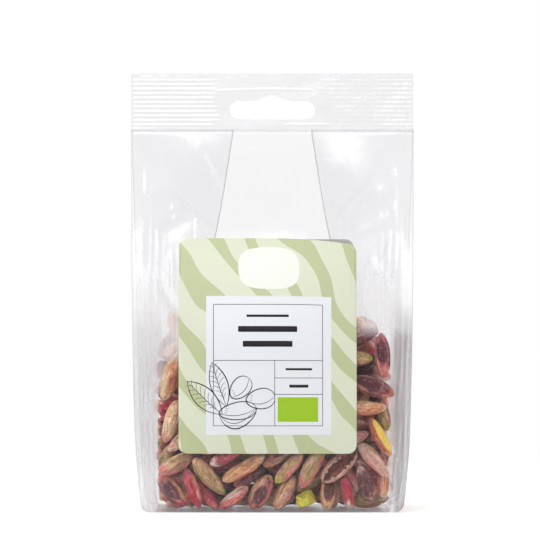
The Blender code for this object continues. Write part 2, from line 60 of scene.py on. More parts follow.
# ---------------------------------------------------------------- the light tent
# A white room: the wall seen behind the bag is plain white, and the side that the viewer stands on is
# dimmer, so that the film shows a little grey. Soft boxes stand at both sides and above.

scene.view_settings.view_transform = "Standard"
scene.view_settings.look = "None"
scene.cycles.transparent_max_bounces = 64
FRONT_LIGHT = 0.42  # the room's brightness on the viewer's side
BACK_LIGHT = 1.05
SKY_LIGHT = 0.75
FROM_FRONT_TO_BACK = (-0.9, 0.5)  # where along Y the first brightness gives way to the second
FROM_SIDES_TO_SKY = (0.15, 0.8)


def add(tree, kind, inputs=(), **properties):
    """Adds a shader node to a tree: its properties by name, then its inputs by name or number, each from
    another node's output or a plain value. Returns its outputs."""
    node = tree.nodes.new("ShaderNode" + kind)
    for field, value in properties.items():
        setattr(node, field, value)
    for key, value in dict(inputs).items():
        if isinstance(value, bpy.types.NodeSocket):
            tree.links.new(value, node.inputs[key])
        else:
            node.inputs[key].default_value = value
    return node.outputs


def ramp(tree, value, span, low, high, curve="LINEAR"):
    """A Map Range node: low at the start of the span and high at its end."""
    limits = {"From Min": span[0], "From Max": span[1], "To Min": low, "To Max": high}
    return add(tree, "MapRange", {"Value": value, **limits}, interpolation_type=curve)["Result"]


world = bpy.data.worlds.new("light_tent")
world.use_nodes = True
scene.world = world
tent = world.node_tree
tent.nodes.clear()
parts = add(tent, "SeparateXYZ", {0: add(tent, "TexCoord")["Generated"]})
depthwise = ramp(tent, parts["Y"], FROM_FRONT_TO_BACK, FRONT_LIGHT, BACK_LIGHT, "SMOOTHSTEP")
upwards = ramp(tent, parts["Z"], FROM_SIDES_TO_SKY, 0.0, SKY_LIGHT, "SMOOTHSTEP")
brighter = add(tent, "Math", {0: depthwise, 1: upwards}, operation="MAXIMUM")
room = add(tent, "Background", {"Strength": brighter[0]})
seen = add(tent, "Background", {"Color": (1, 1, 1, 1), "Strength": 1.0})
by_camera = add(tent, "LightPath")["Is Camera Ray"]
either = add(tent, "MixShader", {"Fac": by_camera, 1: room[0], 2: seen[0]})
add(tent, "OutputWorld", {"Surface": either[0]})

# Each soft box: name, place, size and power, in metres and watts, and whether it shows as a reflection.
# All are aimed at the middle of the filling.
AIM_HEIGHT = 0.07
SOFT_BOXES = (
    ("box_left", (-1.1, -0.12, 0.40), (0.5, 0.8), 5.5, False),
    ("box_right", (1.1, -0.05, 0.38), (0.4, 0.8), 4.6, False),
    ("box_above", (-0.1, -0.20, 1.15), (0.9, 0.7), 9.0, False),
    ("box_front", (-0.15, -1.25, 0.60), (0.5, 0.5), 6.3, True),
)
for name, place, size, power, mirrored in SOFT_BOXES:
    lamp = bpy.data.lights.new(name, "AREA")
    lamp.shape = "RECTANGLE"
    lamp.size, lamp.size_y = size
    lamp.energy = power
    soft_box = bpy.data.objects.new(name, lamp)
    soft_box.location = place
    soft_box.visible_glossy = mirrored
    aim = camera.location.copy()
    aim.xyz = (-place[0], -place[1], AIM_HEIGHT - place[2])
    soft_box.rotation_euler = aim.to_track_quat("-Z", "Y").to_euler()
    scene.collection.objects.link(soft_box)

# ---------------------------------------------------------------- the floor
# A sheet of white card that fades into the white room further out.

MM = 0.001
CARD_RADIUS = 620.0
CARD_RINGS, CARD_SPOKES = 12, 72
CARD_FADE = (0.12, 0.55)  # in metres from the middle
CARD_CLEARNESS = 0.4  # how much of the white room shows through the card even beside the bag


def quads(rows, columns, around=False):
    """Corner numbers of the faces of a grid of points stored row by row. With around, the last column
    joins the first."""
    across = np.arange(columns if around else columns - 1)
    up = np.arange(rows - 1)[:, None] * columns
    following = (across + 1) % columns
    return np.stack(
        [up + across, up + following, up + columns + following, up + columns + across], axis=-1
    ).reshape(-1, 4)


def piece(name, points, faces, look):
    """A smooth-shaded mesh object from points in millimetres and lists of faces."""
    mesh = bpy.data.meshes.new(name)
    corners = [row for block in faces for row in np.asarray(block).tolist()]
    mesh.from_pydata((np.asarray(points, float).reshape(-1, 3) * MM).tolist(), [], corners)
    mesh.validate()
    mesh.shade_smooth()
    mesh.materials.append(look)
    made = bpy.data.objects.new(name, mesh)
    scene.collection.objects.link(made)
    return made


def new_look(name):
    """An empty material and its node tree."""
    look = bpy.data.materials.new(name)
    look.use_nodes = True
    look.node_tree.nodes.clear()
    return look, look.node_tree


def finished(look, shader):
    """Leads a shader to the material's output. Returns the material."""
    add(look.node_tree, "OutputMaterial", {"Surface": shader})
    return look


def card_look():
    """White card, fading out with distance from the middle."""
    look, tree = new_look("white_card")
    matte = {"Base Color": (0.9, 0.9, 0.9, 1), "Roughness": 0.9, "Specular IOR Level": 0.1}
    card = add(tree, "BsdfPrincipled", matte)
    place = add(tree, "TexCoord")["Object"]
    far = add(tree, "VectorMath", {0: place}, operation="LENGTH")["Value"]
    fade = ramp(tree, far, CARD_FADE, CARD_CLEARNESS, 1.0, "SMOOTHERSTEP")
    nothing = add(tree, "BsdfTransparent")
    return finished(look, add(tree, "MixShader", {"Fac": fade, 1: card[0], 2: nothing[0]})[0])


def card_points():
    """A flat disc: rings of points at even distances round the origin."""
    far = np.linspace(0.02, 1, CARD_RINGS)[:, None] * CARD_RADIUS
    turn = np.linspace(0, 2 * math.pi, CARD_SPOKES, endpoint=False)[None, :]
    return np.stack([far * np.cos(turn), far * np.sin(turn), far * 0 * turn], axis=-1)


card_faces = [quads(CARD_RINGS, CARD_SPOKES, around=True), [list(range(CARD_SPOKES))[::-1]]]
card = piece("floor_card", card_points(), card_faces, card_look())
card.location = (0, 0, -0.0001)

# ---------------------------------------------------------------- the bag's film
# Clear cast film, one web folded into a front panel, a back panel and two side gussets. The four edges
# are sealed as narrow fins, and the base is folded flat under the bag.

BAG_HEIGHT = 168.0
SEAL_HEIGHT = 23.0
BODY_HEIGHT = BAG_HEIGHT - SEAL_HEIGHT
ROOT_HALF_WIDTH = ((0, 44.8), (8, 45.8), (27, 47.2), (43, 47.8), (69, 48.4), (100, 48.9), (145, 49.7))
FIN = ((0, 2.6), (1.2, 4.2), (3.2, 4.8), (145, 4.8))
HALF_DEPTH = ((0, 24.0), (10, 26.6), (35, 29.0), (60, 28.0), (85, 24.8), (105, 19.6), (125, 11.0), (145, 1.0))
PANEL_CROWN = ((0, 0.4), (15, 2.4), (50, 3.6), (85, 3.2), (115, 1.6), (145, 0.0))
GUSSET_FOLD = (
    (0, 1.0), (14, 2.0), (27, 3.6), (43, 4.4), (51, 5.6), (62, 11.5), (82, 19.5), (104, 26.8), (145, 34.7)
)  # fmt: skip
LEFT_FOLD_PLACE = ((0, -0.86), (38, -0.86), (58, -0.5), (76, 0.0), (145, 0.0))
PLY = 0.06  # thickness of the film
# How far across, to the left and to the right, the kernels press against the panels
CLING_LEFT = ((0, 42.5), (40, 43.5), (58, 42.0), (145, 42.0))
CLING_RIGHT = ((0, 46.0), (60, 46.4), (145, 46.4))
FIN_GAP = 0.2  # between the two plies of a fin
LAP = 1.2  # how far the panels reach up over the heat seal
OVERLAP = 0.58  # how much nearer to each other the panels are there
OUTWARDS = 0.25  # how far a wave may stand out of a panel
BACK_MILK = 0.55  # the back panel's milkiness as a share of the front one's
HEIGHTS_AT_BASE = (0.05, 0.5, 1.1, 1.9, 2.8)  # rows of points, closer together where the fins begin
WALL_ROWS, PANEL_COLUMNS, GUSSET_COLUMNS = 106, 125, 25


def along(table, z):
    """The table's value at height z, on a smooth curve through its points that never overshoots them."""
    heights, values = (np.array(column, float) for column in zip(*table))
    rises = np.diff(values) / np.diff(heights)
    before, after = rises[:-1], rises[1:]
    same_way = before * after > 0
    slopes = np.where(same_way, 2 * before * after / np.where(same_way, before + after, 1.0), 0.0)
    slopes = np.concatenate([rises[:1], slopes, rises[-1:]])
    z = np.clip(z, heights[0], heights[-1])
    k = np.clip(np.searchsorted(heights, z, side="right") - 1, 0, len(heights) - 2)
    span = heights[k + 1] - heights[k]
    t = (z - heights[k]) / span
    rise = values[k + 1] - values[k]
    return (
        values[k]
        + slopes[k] * span * t * (1 - t) * (1 - t)
        + rise * t * t * (3 - 2 * t)
        + slopes[k + 1] * span * t * t * (t - 1)
    )


def edge_half_depth(z):
    """Half the bag's depth at the fins. The panels stand prouder than this in their middle."""
    return along(HALF_DEPTH, z) - along(PANEL_CROWN, z)


def panel_depth(x, z):
    """How far the front or back panel's outer face is from the middle plane."""
    across = np.clip(x / along(ROOT_HALF_WIDTH, z), -1, 1)
    return edge_half_depth(z) + along(PANEL_CROWN, z) * (1 - across * across)


def fold_place(z, left):
    """The gusset fold's place from front to back: the right one is in the middle all the way up."""
    return np.where(left, along(LEFT_FOLD_PLACE, z), 0.0) * edge_half_depth(z)


def gusset_reach(x, y, z):
    """How far from the middle the gusset's outer face is, on the side x is on."""
    deep = edge_half_depth(z)
    crease = fold_place(z, x < 0)
    ahead = np.clip((y + deep) / (crease + deep), 0, 1)
    behind = np.clip((deep - y) / (deep - crease), 0, 1)
    return along(ROOT_HALF_WIDTH, z) - along(GUSSET_FOLD, z) * np.where(y < crease, ahead, behind)


def eased(value, low, high):
    """0 below low, 1 above high, and a smooth S between them."""
    t = np.clip((value - low) / (high - low), 0, 1)
    return t * t * (3 - 2 * t)


def crease(x, z, start, stop, width):
    """A straight crease from start to stop: 1 on its line, falling off as a bell of the given width,
    and fading over its last fifth at each end."""
    (x0, z0), (x1, z1) = start, stop
    length = math.hypot(x1 - x0, z1 - z0)
    ux, uz = (x1 - x0) / length, (z1 - z0) / length
    run = ((x - x0) * ux + (z - z0) * uz) / length
    aside = (x - x0) * uz - (z - z0) * ux
    return np.exp(-((aside / width) ** 2)) * eased(run, -0.02, 0.2) * (1 - eased(run, 0.8, 1.02))


# Creases of the front panel: start and stop across and up, width, depth into the bag, whitening (partly real
# stress-whitening, partly a painted highlight along the crease)
FRONT_CREASES = (
    ((-26.6, 138.2), (-19.0, 122.0), 1.1, 0.7, 0.10),
    ((-24.0, 139.0), (-20.5, 120.0), 0.8, -0.5, 0.0),
    ((-41.5, 52.0), (-49.2, 40.4), 0.7, -0.5, 0.30),
    ((-43.0, 49.0), (-50.5, 33.0), 1.0, 0.5, 0.12),
    ((-49.3, 131.0), (-48.9, 121.0), 0.35, 0.3, 0.8),
    ((-49.6, 112.0), (-49.9, 98.0), 0.35, 0.3, 0.7),
    ((-38.9, 117.6), (-38.1, 115.0), 0.5, -0.4, 0.5),
    ((-38.4, 113.2), (-36.9, 111.0), 0.4, -0.3, 0.5),
    ((-29.8, 112.0), (-29.2, 107.0), 0.6, -0.4, 0.8),
    ((-29.5, 108.0), (-29.6, 96.0), 0.7, -0.4, 0.25),
    ((-38.6, 100.0), (-37.8, 84.0), 0.6, 0.4, 0.2),
    ((47.0, 131.5), (47.6, 128.0), 0.5, -0.3, 0.7),
    ((47.5, 125.0), (47.2, 108.0), 0.4, 0.3, 0.35),
    ((46.6, 118.5), (47.4, 114.5), 0.45, -0.3, 0.8),
    ((45.0, 113.0), (30.0, 106.0), 2.2, 0.5, 0.06),
    ((45.5, 108.0), (45.0, 100.0), 0.4, -0.3, 0.6),
    ((43.3, 7.6), (48.2, 2.2), 0.45, -0.4, 0.65),
    ((41.2, 7.2), (46.0, 1.2), 0.5, 0.4, 0.3),
    ((44.8, 9.2), (49.5, 5.4), 0.4, -0.4, 0.5),
    ((40.4, 3.6), (43.6, 0.8), 0.35, -0.3, 0.4),
    ((45.4, 24.6), (46.4, 22.0), 0.5, -0.3, 0.7),
    ((47.0, 21.4), (47.4, 19.8), 0.4, -0.3, 0.5),
    ((-50.0, 26.0), (-46.0, 6.0), 0.6, 0.3, 0.15),
    ((-48.5, 30.0), (-49.0, 4.0), 0.5, -0.3, 0.22),
    ((-51.0, 60.0), (-50.6, 20.0), 0.5, 0.3, 0.25),
    ((-46.2, 22.0), (-45.0, 5.0), 0.6, -0.2, 0.16),
    ((51.2, 70.0), (50.2, 8.0), 0.5, -0.3, 0.4),
    ((49.4, 92.0), (49.2, 40.0), 0.6, 0.3, 0.2),
    ((48.4, 34.0), (48.0, 12.0), 0.5, 0.3, 0.2),
    ((-36.0, 132.0), (-48.0, 118.0), 3.0, 0.5, 0.0),
    ((-45.0, 104.0), (-20.0, 120.0), 3.5, -0.5, 0.0),
    ((24.0, 132.0), (44.0, 120.0), 3.2, 0.6, 0.0),
    ((26.0, 118.0), (46.0, 128.0), 2.6, -0.4, 0.0),
    ((-43.0, 88.0), (-36.0, 76.0), 1.2, -0.5, 0.08),
    ((36.0, 96.0), (46.0, 84.0), 1.4, 0.5, 0.05),
)
# The back and gusset creases have the same columns, with the same partly painted highlight in the last.
BACK_CREASES = (
    ((-44.0, 126.0), (-22.0, 108.0), 2.4, 0.7, 0.04),
    ((40.0, 130.0), (24.0, 112.0), 2.0, 0.7, 0.04),
    ((-46.0, 96.0), (-36.0, 84.0), 1.0, -0.5, 0.15),
    ((46.0, 104.0), (38.0, 86.0), 0.9, -0.5, 0.15),
    ((10.0, 138.0), (-4.0, 112.0), 3.0, 0.6, 0.0),
    ((-49.0, 60.0), (-48.6, 14.0), 0.5, 0.3, 0.3),
    ((49.0, 74.0), (48.6, 20.0), 0.5, 0.3, 0.3),
    ((-45.5, 10.0), (-48.6, 3.0), 0.5, -0.4, 0.4),
    ((45.5, 10.0), (48.6, 3.0), 0.5, -0.4, 0.4),
)
GUSSET_CREASES = (
    ((-20.0, 66.0), (-2.0, 48.0), 1.1, 0.6, 0.09),
    ((20.0, 70.0), (3.0, 52.0), 1.2, 0.6, 0.09),
    ((-16.0, 96.0), (-3.0, 74.0), 1.0, -0.5, 0.07),
    ((15.0, 92.0), (2.0, 80.0), 1.0, 0.5, 0.07),
    ((-22.0, 22.0), (-14.0, 3.0), 0.7, -0.4, 0.12),
    ((22.0, 20.0), (15.0, 3.0), 0.7, -0.4, 0.12),
    ((-8.0, 128.0), (-3.0, 104.0), 0.8, 0.4, 0.05),
    ((7.0, 122.0), (2.5, 100.0), 0.8, -0.4, 0.05),
    ((-12.0, 40.0), (8.0, 30.0), 1.6, 0.4, 0.03),
)


def creased(table, x, z):
    """How deep the creases of a table press a wall into the bag, and how white they turn the film: partly
    stress-whitening, partly a painted highlight.
    """
    deep, white = np.zeros_like(x), np.zeros_like(x)
    for start, stop, width, depth, whitening_and_painted_light in table:
        deep += depth * crease(x, z, start, stop, width)
        white = np.maximum(white, whitening_and_painted_light * crease(x, z, start, stop, width * 0.6))
    return deep, white


def panel_waves(x, z, shift):
    """Soft waves of an unfilled panel, pressed into the bag: crossed cosines, strongest half-way between
    the kernels and the heat seal, plus fine upright ripples beside the fins."""
    free = eased(z, 78, 104) * (1 - eased(z, 136, 144))
    waves = 0.45 + 0.28 * np.cos(x / 6.1 + 1.4 * np.sin(z / 15.0 + shift) + shift)
    waves += 0.22 * np.cos(z / 7.3 - x / 13.0 + 2.1 * shift)
    beside = eased(np.abs(x), 38, 46) * (1 - eased(np.abs(x), 48.4, 49.5))
    ripples = 0.16 * np.cos(x * 2.3 + 0.6 * np.sin(z / 6.0 + shift)) * (0.6 + 0.4 * np.cos(z / 9.0 + shift))
    return free * waves + beside * ripples


def clouded(x, z, tip):
    """How milky a panel is where it stands off from the kernels, and how dark that milkiness is: strips
    beside the fins, the corners over the heap, and the fin's outer edge, all with upright streaks. The milk
    is partly the haze of plies standing off, partly a painted reflection of the room in them."""
    below_top = 1 - eased(z, 62, 84)
    streaks = 0.78 + 0.22 * np.cos(x * 2.1 + 1.3 * np.sin(z / 8.0)) * np.cos(x * 5.3 - z / 21.0)
    left = below_top * eased(-x - along(CLING_LEFT, z), -1.2, 2.2)
    right = below_top * eased(x - along(CLING_RIGHT, z), -1.0, 1.4)
    over_left = eased(z, 56, 62) * (1 - eased(z, 84, 100)) * eased(-x, 27, 35)
    over_right = eased(z, 66, 71) * (1 - eased(z, 84, 100)) * eased(x, 30, 37)
    edge = np.exp(-(((np.abs(x) - tip) / 0.4) ** 2))
    # Each part: its mask, its share of milk (partly painted reflection), and how dark its milk is
    parts = (
        (left, 0.32, 0.5), (right, 0.44, 0.85),
        (over_left, 0.44, 0.2), (over_right, 0.46, 0.12), (edge, 0.3, 0.6),
    )  # fmt: skip
    clear = 1 + 0 * (x * z)
    dark = 0 * clear
    for mask, share, darkness in parts:
        clear = clear * (1 - share * mask * streaks)
        dark = dark + share * mask * darkness
    total = sum(share * mask for mask, share, _ in parts)
    return 1 - clear, dark / np.maximum(total, 0.02)


def film_wall():
    """Points of the bag's wall, row by row from the base up, each row once round the bag: front panel
    with its fin plies, right gusset, back panel, left gusset. Also how white each point is, from creases and
    milk that are partly painted highlight and painted reflection, and how dark that white is."""
    z = np.concatenate([HEIGHTS_AT_BASE, np.linspace(4.0, BODY_HEIGHT + LAP, WALL_ROWS)])[:, None]
    zc = np.minimum(z, BODY_HEIGHT)
    root, fin = along(ROOT_HALF_WIDTH, zc), along(FIN, zc)
    tip = root + fin
    closing = eased(z, 124, BODY_HEIGHT)

    def depth(x):
        return panel_depth(x, zc) - OVERLAP * closing

    share = np.linspace(-1, 1, PANEL_COLUMNS)[None, :]
    x = share * (1.22 - 0.22 * share * share) * tip  # closer together towards the fins
    z_all = z + 0 * x
    panels = []
    for table, shift, side in ((FRONT_CREASES, 0.4, -1), (BACK_CREASES, 2.6, 1)):
        pressed, white = creased(table, x, z_all)
        at_fin = eased(np.abs(x), root - 1.5, root + 0.2)
        pressed = (pressed + panel_waves(x, z_all, shift)) * (1 - at_fin) * eased(BODY_HEIGHT - z, -0.5, 6)
        flutter = 0.3 * np.sin(z / 8.5 + shift + np.sign(x)) * eased(np.abs(x), root, tip) * (1 - closing)
        y = side * (depth(x) - np.maximum(pressed, -OUTWARDS)) + flutter
        milk, milk_darkness = clouded(x, z_all, tip)
        milk = milk * (1.0 if side < 0 else BACK_MILK)
        milk_darkness = milk_darkness * milk / np.maximum(milk + white, 0.02)
        panels.append((x, y, 1 - (1 - white) * (1 - milk), milk_darkness, flutter))
    fold = along(GUSSET_FOLD, zc)
    inner = depth(tip) - FIN_GAP
    gussets = []
    for left in (False, True):
        hand, column = (-1.0, 0) if left else (1.0, -1)
        crease_y = fold_place(zc, left) * (1 - closing)
        strips = []
        for end, panel in zip((-1, 1), panels):
            out = np.linspace(1, 0, 5)[None, :-1]
            inwards = np.linspace(0, 1, GUSSET_COLUMNS)[None, :]
            fin_x = root + fin * out
            fin_y = end * inner + panel[4][:, column][:, None] * out
            wall_y = end * inner + (crease_y - end * inner) * inwards
            pressed, white = creased(GUSSET_CREASES, wall_y, z + wall_y * 0)
            ripple = 0.25 * np.cos(wall_y / 2.6 + 1.3 * np.sin(z / 11.0) + hand) * eased(z, 40, 70)
            bow = 0.35 * np.sin(math.pi * inwards) * eased(z, 30, 60)
            keep = np.sin(math.pi * inwards) ** 0.7 * (1 - closing)
            wall_x = root - fold * inwards - (np.maximum(pressed + ripple, -0.2) + bow) * keep
            plies = ((fin_x, fin_y, 0 * fin_x), (wall_x, wall_y, white))
            strip = [np.concatenate([ply[k] + 0 * z for ply in plies], axis=1) for k in range(3)]
            strips.append([part if end < 0 else part[:, ::-1][:, 1:] for part in strip])
        across, deep, white = (np.concatenate([one, two], axis=1) for one, two in zip(*strips))
        gussets.append((hand * across, deep, white, 0 * white))
    x, y, white, milk_darkness = (
        np.concatenate([panels[0][k], gussets[0][k], panels[1][k][:, ::-1], gussets[1][k][:, ::-1]], axis=1)
        for k in range(4)
    )
    return np.stack([x, y, z + 0 * x], axis=-1), white, milk_darkness


def chain(tree, operation, *values):
    """One Math node fed by sockets or plain numbers. Returns its output."""
    return add(tree, "Math", enumerate(values), operation=operation)[0]


def painted(tree, base, mask, tint, blend="MIX"):
    """A Mix node that lays a tint over a base colour where the mask is 1, or multiplies by the tint."""
    colours = {"Factor": mask, "A": base, "B": tint}
    return add(tree, "Mix", colours, data_type="RGBA", blend_type=blend)["Result"]


def noise(tree, vector, scale, detail=2.0, **more):
    """Noise of that many waves per unit of the vector, about 0 to 1. More inputs go by their names."""
    inputs = {"Vector": vector, "Scale": scale, "Detail": detail, **more}
    return add(tree, "TexNoise", inputs)["Fac"]


def bumped(tree, height, strength, distance):
    """The normal of a surface with that relief, its depth in metres."""
    return add(tree, "Bump", {"Height": height, "Strength": strength, "Distance": distance})["Normal"]


def film_look(name, head_on, glance_on, tint):
    """Clear glossy film of that tint: see-through head on, more of a mirror at a glance by the fifth power
    of Schlick's rule between the two given shares, and milky by a per-point share of white: real
    stress-whitening and haze, but partly painted highlights along creases, a painted reflection of the room,
    and on the base painted shade. A second share darkens that milk."""
    look, tree = new_look(name)
    waves = noise(tree, add(tree, "TexCoord")["Object"], 90.0, 3.0)
    wavy = bumped(tree, waves, 0.35, 0.0012)
    through = add(tree, "BsdfTransparent", {"Color": tint})
    mirror = {"Base Color": (1, 1, 1, 1), "Metallic": 1.0, "Roughness": 0.24, "Normal": wavy}
    gloss = add(tree, "BsdfPrincipled", mirror)
    glance = add(tree, "LayerWeight", {"Blend": 0.5, "Normal": wavy})["Facing"]
    schlick = chain(tree, "MULTIPLY_ADD", chain(tree, "POWER", glance, 5.0), glance_on - head_on, head_on)
    film = add(tree, "MixShader", {"Fac": schlick, 1: through[0], 2: gloss[0]})
    milk_darkness, whitening_and_painted_light = (add(tree, "Attribute", attribute_name=kept)["Fac"] for kept in ("milk_darkness", "whitening_and_painted_light"))
    # The milk's colour: near white, turned dark brownish grey where the darkness share is high; this dark
    # milk is painted shade on the base and a darker haze on the walls.
    shade = painted(tree, (0.93, 0.93, 0.94, 1), milk_darkness, (0.17, 0.125, 0.13, 1))
    milk = add(tree, "BsdfPrincipled", {"Roughness": 0.5, "Base Color": shade})
    return finished(look, add(tree, "MixShader", {"Fac": whitening_and_painted_light, 1: film[0], 2: milk[0]})[0])


def attribute(made, name, kind, values):
    """Stores one value, vector or colour per point in a piece's mesh."""
    field = {"FLOAT": "value", "FLOAT_VECTOR": "vector", "FLOAT_COLOR": "color"}[kind]
    layer = made.data.attributes.new(name, kind, "POINT")
    layer.data.foreach_set(field, np.ascontiguousarray(values, np.float32).ravel())


def walled(made, thickness, offset=-1.0):
    """Gives an open sheet its thickness, inwards by default."""
    wall = made.modifiers.new("thickness", "SOLIDIFY")
    wall.thickness = thickness * MM
    wall.offset = offset
    wall.use_even_offset = False
    wall.use_quality_normals = False


clear_film = film_look("clear_film", 0.02, 0.5, (0.987, 0.987, 0.99, 1))
wall_points, wall_white, wall_milk_darkness = film_wall()
rows, columns = wall_white.shape
film = piece("bag_wall", wall_points, [quads(rows, columns, around=True)], clear_film)
attribute(film, "whitening_and_painted_light", "FLOAT", wall_white)
attribute(film, "milk_darkness", "FLOAT", wall_milk_darkness)
walled(film, PLY)
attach(film, "root")
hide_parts("bag_film")

# ---------------------------------------------------------------- the base
# The web's lower end folded flat like the bottom of a paper bag: four plies lying on each other, with the
# folds running in from the corners.


BASE_ROWS, BASE_COLUMNS = 41, 61
BASE_MARGIN = 0.25  # how far the sheet ends inside the panels
BASE_PLIES_THICK = 0.1


def base_points():
    """A flat sheet under the bag. Height in it rises by a bell along each of the folds, which run from
    the corners to the middle line and along it."""
    s = np.linspace(-1, 1, BASE_COLUMNS)[None, :]
    t = np.linspace(-1, 1, BASE_ROWS)[:, None]
    x = s * (along(ROOT_HALF_WIDTH, 0.3) - BASE_MARGIN) + 0 * t
    y = t * (panel_depth(x, 0.3) - BASE_MARGIN)
    inwards = np.abs(np.abs(x) - 45 + (24 - np.abs(y)) * 0.9)
    ridge = 0.14 * np.exp(-((inwards / 0.7) ** 2)) + 0.12 * np.exp(-((y / 0.8) ** 2))
    return np.stack([x, y, 0.16 + ridge], axis=-1)


base = piece("bag_base", base_points(), [quads(BASE_ROWS, BASE_COLUMNS)], clear_film)
# A dark milky veil over the base's plies: painted shade and painted reflection of the kernels on the strip
# seen under them.
for kept, value in (("whitening_and_painted_light", 0.16), ("milk_darkness", 0.9)):
    attribute(base, kept, "FLOAT", np.full(BASE_ROWS * BASE_COLUMNS, value))
walled(base, BASE_PLIES_THICK)
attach(base, "root")
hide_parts("bag_film")

# ---------------------------------------------------------------- the heat seal
# All plies of the bag fused by a ribbed sealing bar into one stiff strip, with a hang hole punched through
# its smooth middle.

RIB_PITCH = 1.73
RIB_RISE = 0.035
RIBS_START = BODY_HEIGHT + 2.0
RIB_COUNT = 11
SEAL_THICKNESS = 0.2
PLAIN_HALF_WIDTH = 23.5
HOLE_CENTRE = 153.7
HOLE_REACH = 13.0
HOLE_RADIUS = 3.5
HOLE_CROWN_RISE = 2.2
HOLE_CROWN_REACH = 8.0
FINE_GRID_REACH = 19.0  # the grid is finer round the hole, up to here


def hole_distance(x, z):
    """Distance outside the hang hole: a slot with round ends, whose upper side swells into a crown as a
    raised cosine."""
    swell = np.cos(x * math.pi / (2 * HOLE_CROWN_REACH)) ** 2
    crown = HOLE_CROWN_RISE * np.where(np.abs(x) < HOLE_CROWN_REACH, swell, 0) * (z > HOLE_CENTRE)
    return np.hypot(np.maximum(np.abs(x) - HOLE_REACH, 0), z - HOLE_CENTRE) - HOLE_RADIUS - crown


def seal_points():
    """The strip as a grid of x and z whose y waves as a cosine over the ribs, flat in the plain middle,
    with soft bends over the whole width. Faces in the hole are left out, and the points round it are moved
    onto its outline."""
    half = float(along(ROOT_HALF_WIDTH, BODY_HEIGHT) + along(FIN, BODY_HEIGHT)) - 0.1
    fine = FINE_GRID_REACH
    x = [np.linspace(-half, -fine, 48)[:-1], np.linspace(-fine, fine, 91), np.linspace(fine, half, 48)[1:]]
    x, z = np.meshgrid(np.concatenate(x), np.linspace(BODY_HEIGHT + 0.1, BAG_HEIGHT - 0.05, 121))
    for _ in range(4):
        near = hole_distance(x, z)
        step = 0.01
        gx = (hole_distance(x + step, z) - hole_distance(x - step, z)) / (2 * step)
        gz = (hole_distance(x, z + step) - hole_distance(x, z - step)) / (2 * step)
        close = np.abs(near) < 0.24
        x = x - np.where(close, near * gx, 0)
        z = z - np.where(close, near * gz, 0)
    ribs_end = RIBS_START + RIB_COUNT * RIB_PITCH
    ribbed = eased(z, RIBS_START - 0.3, RIBS_START + 0.3) * (1 - eased(z, ribs_end - 0.6, ribs_end + 0.2))
    outside = eased(np.abs(x + 1.0 * np.sin(z * 0.4)), PLAIN_HALF_WIDTH - 3.5, PLAIN_HALF_WIDTH + 1.0)
    fading = np.where(x > 0, 0.45 + 0.35 * eased(x, 38, 46) - 0.25 * np.exp(-(((x - 36) / 8) ** 2)), 1.0)
    y = RIB_RISE * ribbed * outside * fading * np.cos((z - RIBS_START) * 2 * math.pi / RIB_PITCH)
    y = y + 0.10 * np.cos(x / 9.0 + 0.4) * eased(z, BODY_HEIGHT + 1, BODY_HEIGHT + 8)
    upper_bend = np.exp(-(((z - 161.5 - 0.3 * np.cos(x / 8)) / 0.3) ** 2))
    upper_bend = upper_bend * eased(x, -22.5, -20) * (1 - eased(x, 14, 16.5))
    lower_bend = np.exp(-(((z - 148.2) / 0.3) ** 2)) * eased(x, 3, 8) * (1 - eased(x, 22, 24))
    return x, y - 0.13 * upper_bend - 0.1 * lower_bend, z


def seal_faces(x, z):
    """The grid's faces whose middle is outside the hang hole."""
    corners = quads(*x.shape)
    middle_x, middle_z = x.ravel()[corners].mean(axis=1), z.ravel()[corners].mean(axis=1)
    return corners[hole_distance(middle_x, middle_z) > 0]


sealed_film = film_look("sealed_film", 0.03, 0.6, (0.938, 0.938, 0.944, 1))
seal_x, seal_y, seal_z = seal_points()
corners = seal_faces(seal_x, seal_z)
used, corners = np.unique(corners, return_inverse=True)
seal_grid = np.stack([seal_x, seal_y, seal_z], axis=-1).reshape(-1, 3)[used]
seal = piece("heat_seal_strip", seal_grid, [corners.reshape(-1, 4)], sealed_film)
rim = np.exp(-((hole_distance(seal_grid[:, 0], seal_grid[:, 2]) / 0.3) ** 2))
white = 0.22 * rim + 0.12 * np.exp(-(((seal_grid[:, 2] - BAG_HEIGHT) / 0.5) ** 2)) + 0.02
attribute(seal, "whitening_and_painted_light", "FLOAT", white)
walled(seal, SEAL_THICKNESS, offset=0.0)
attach(seal, "root")
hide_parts("heat_seal")

# ---------------------------------------------------------------- the front label
# A coated paper sticker: pale green with wavy bands, a white panel with thin ruled lines for the words,
# a bright green field and a line drawing of leaves and nuts. The words themselves are plain bars.

LABEL_WIDTH = 67.4
LABEL_BOTTOM = 22.5
LABEL_TOP = 104.1
LABEL_HEIGHT = LABEL_TOP - LABEL_BOTTOM
LABEL_CORNER = 3.2
LABEL_OFFSET = -1.8
LABEL_PAPER = 0.12
STAND_OFF = 0.3
FRONT_DROOP = 2.6


def on_label(across, up, side, droop, lift):
    """The place in the bag's frame of a point of a label, given in millimetres from its lower left
    corner. The paper follows the panel, and its right-hand top corner leans back and down with the
    square of the distance across and the cube of the height."""
    u = (across - LABEL_WIDTH / 2) / (LABEL_WIDTH / 2)
    x = LABEL_OFFSET + u * LABEL_WIDTH / 2
    share = np.clip(up / LABEL_HEIGHT, 0, 1)
    z = LABEL_BOTTOM + up - np.maximum(u, 0) ** 2 * droop * share**3
    y = side * (panel_depth(x, z) + lift)
    return np.stack([x, y, z], axis=-1)


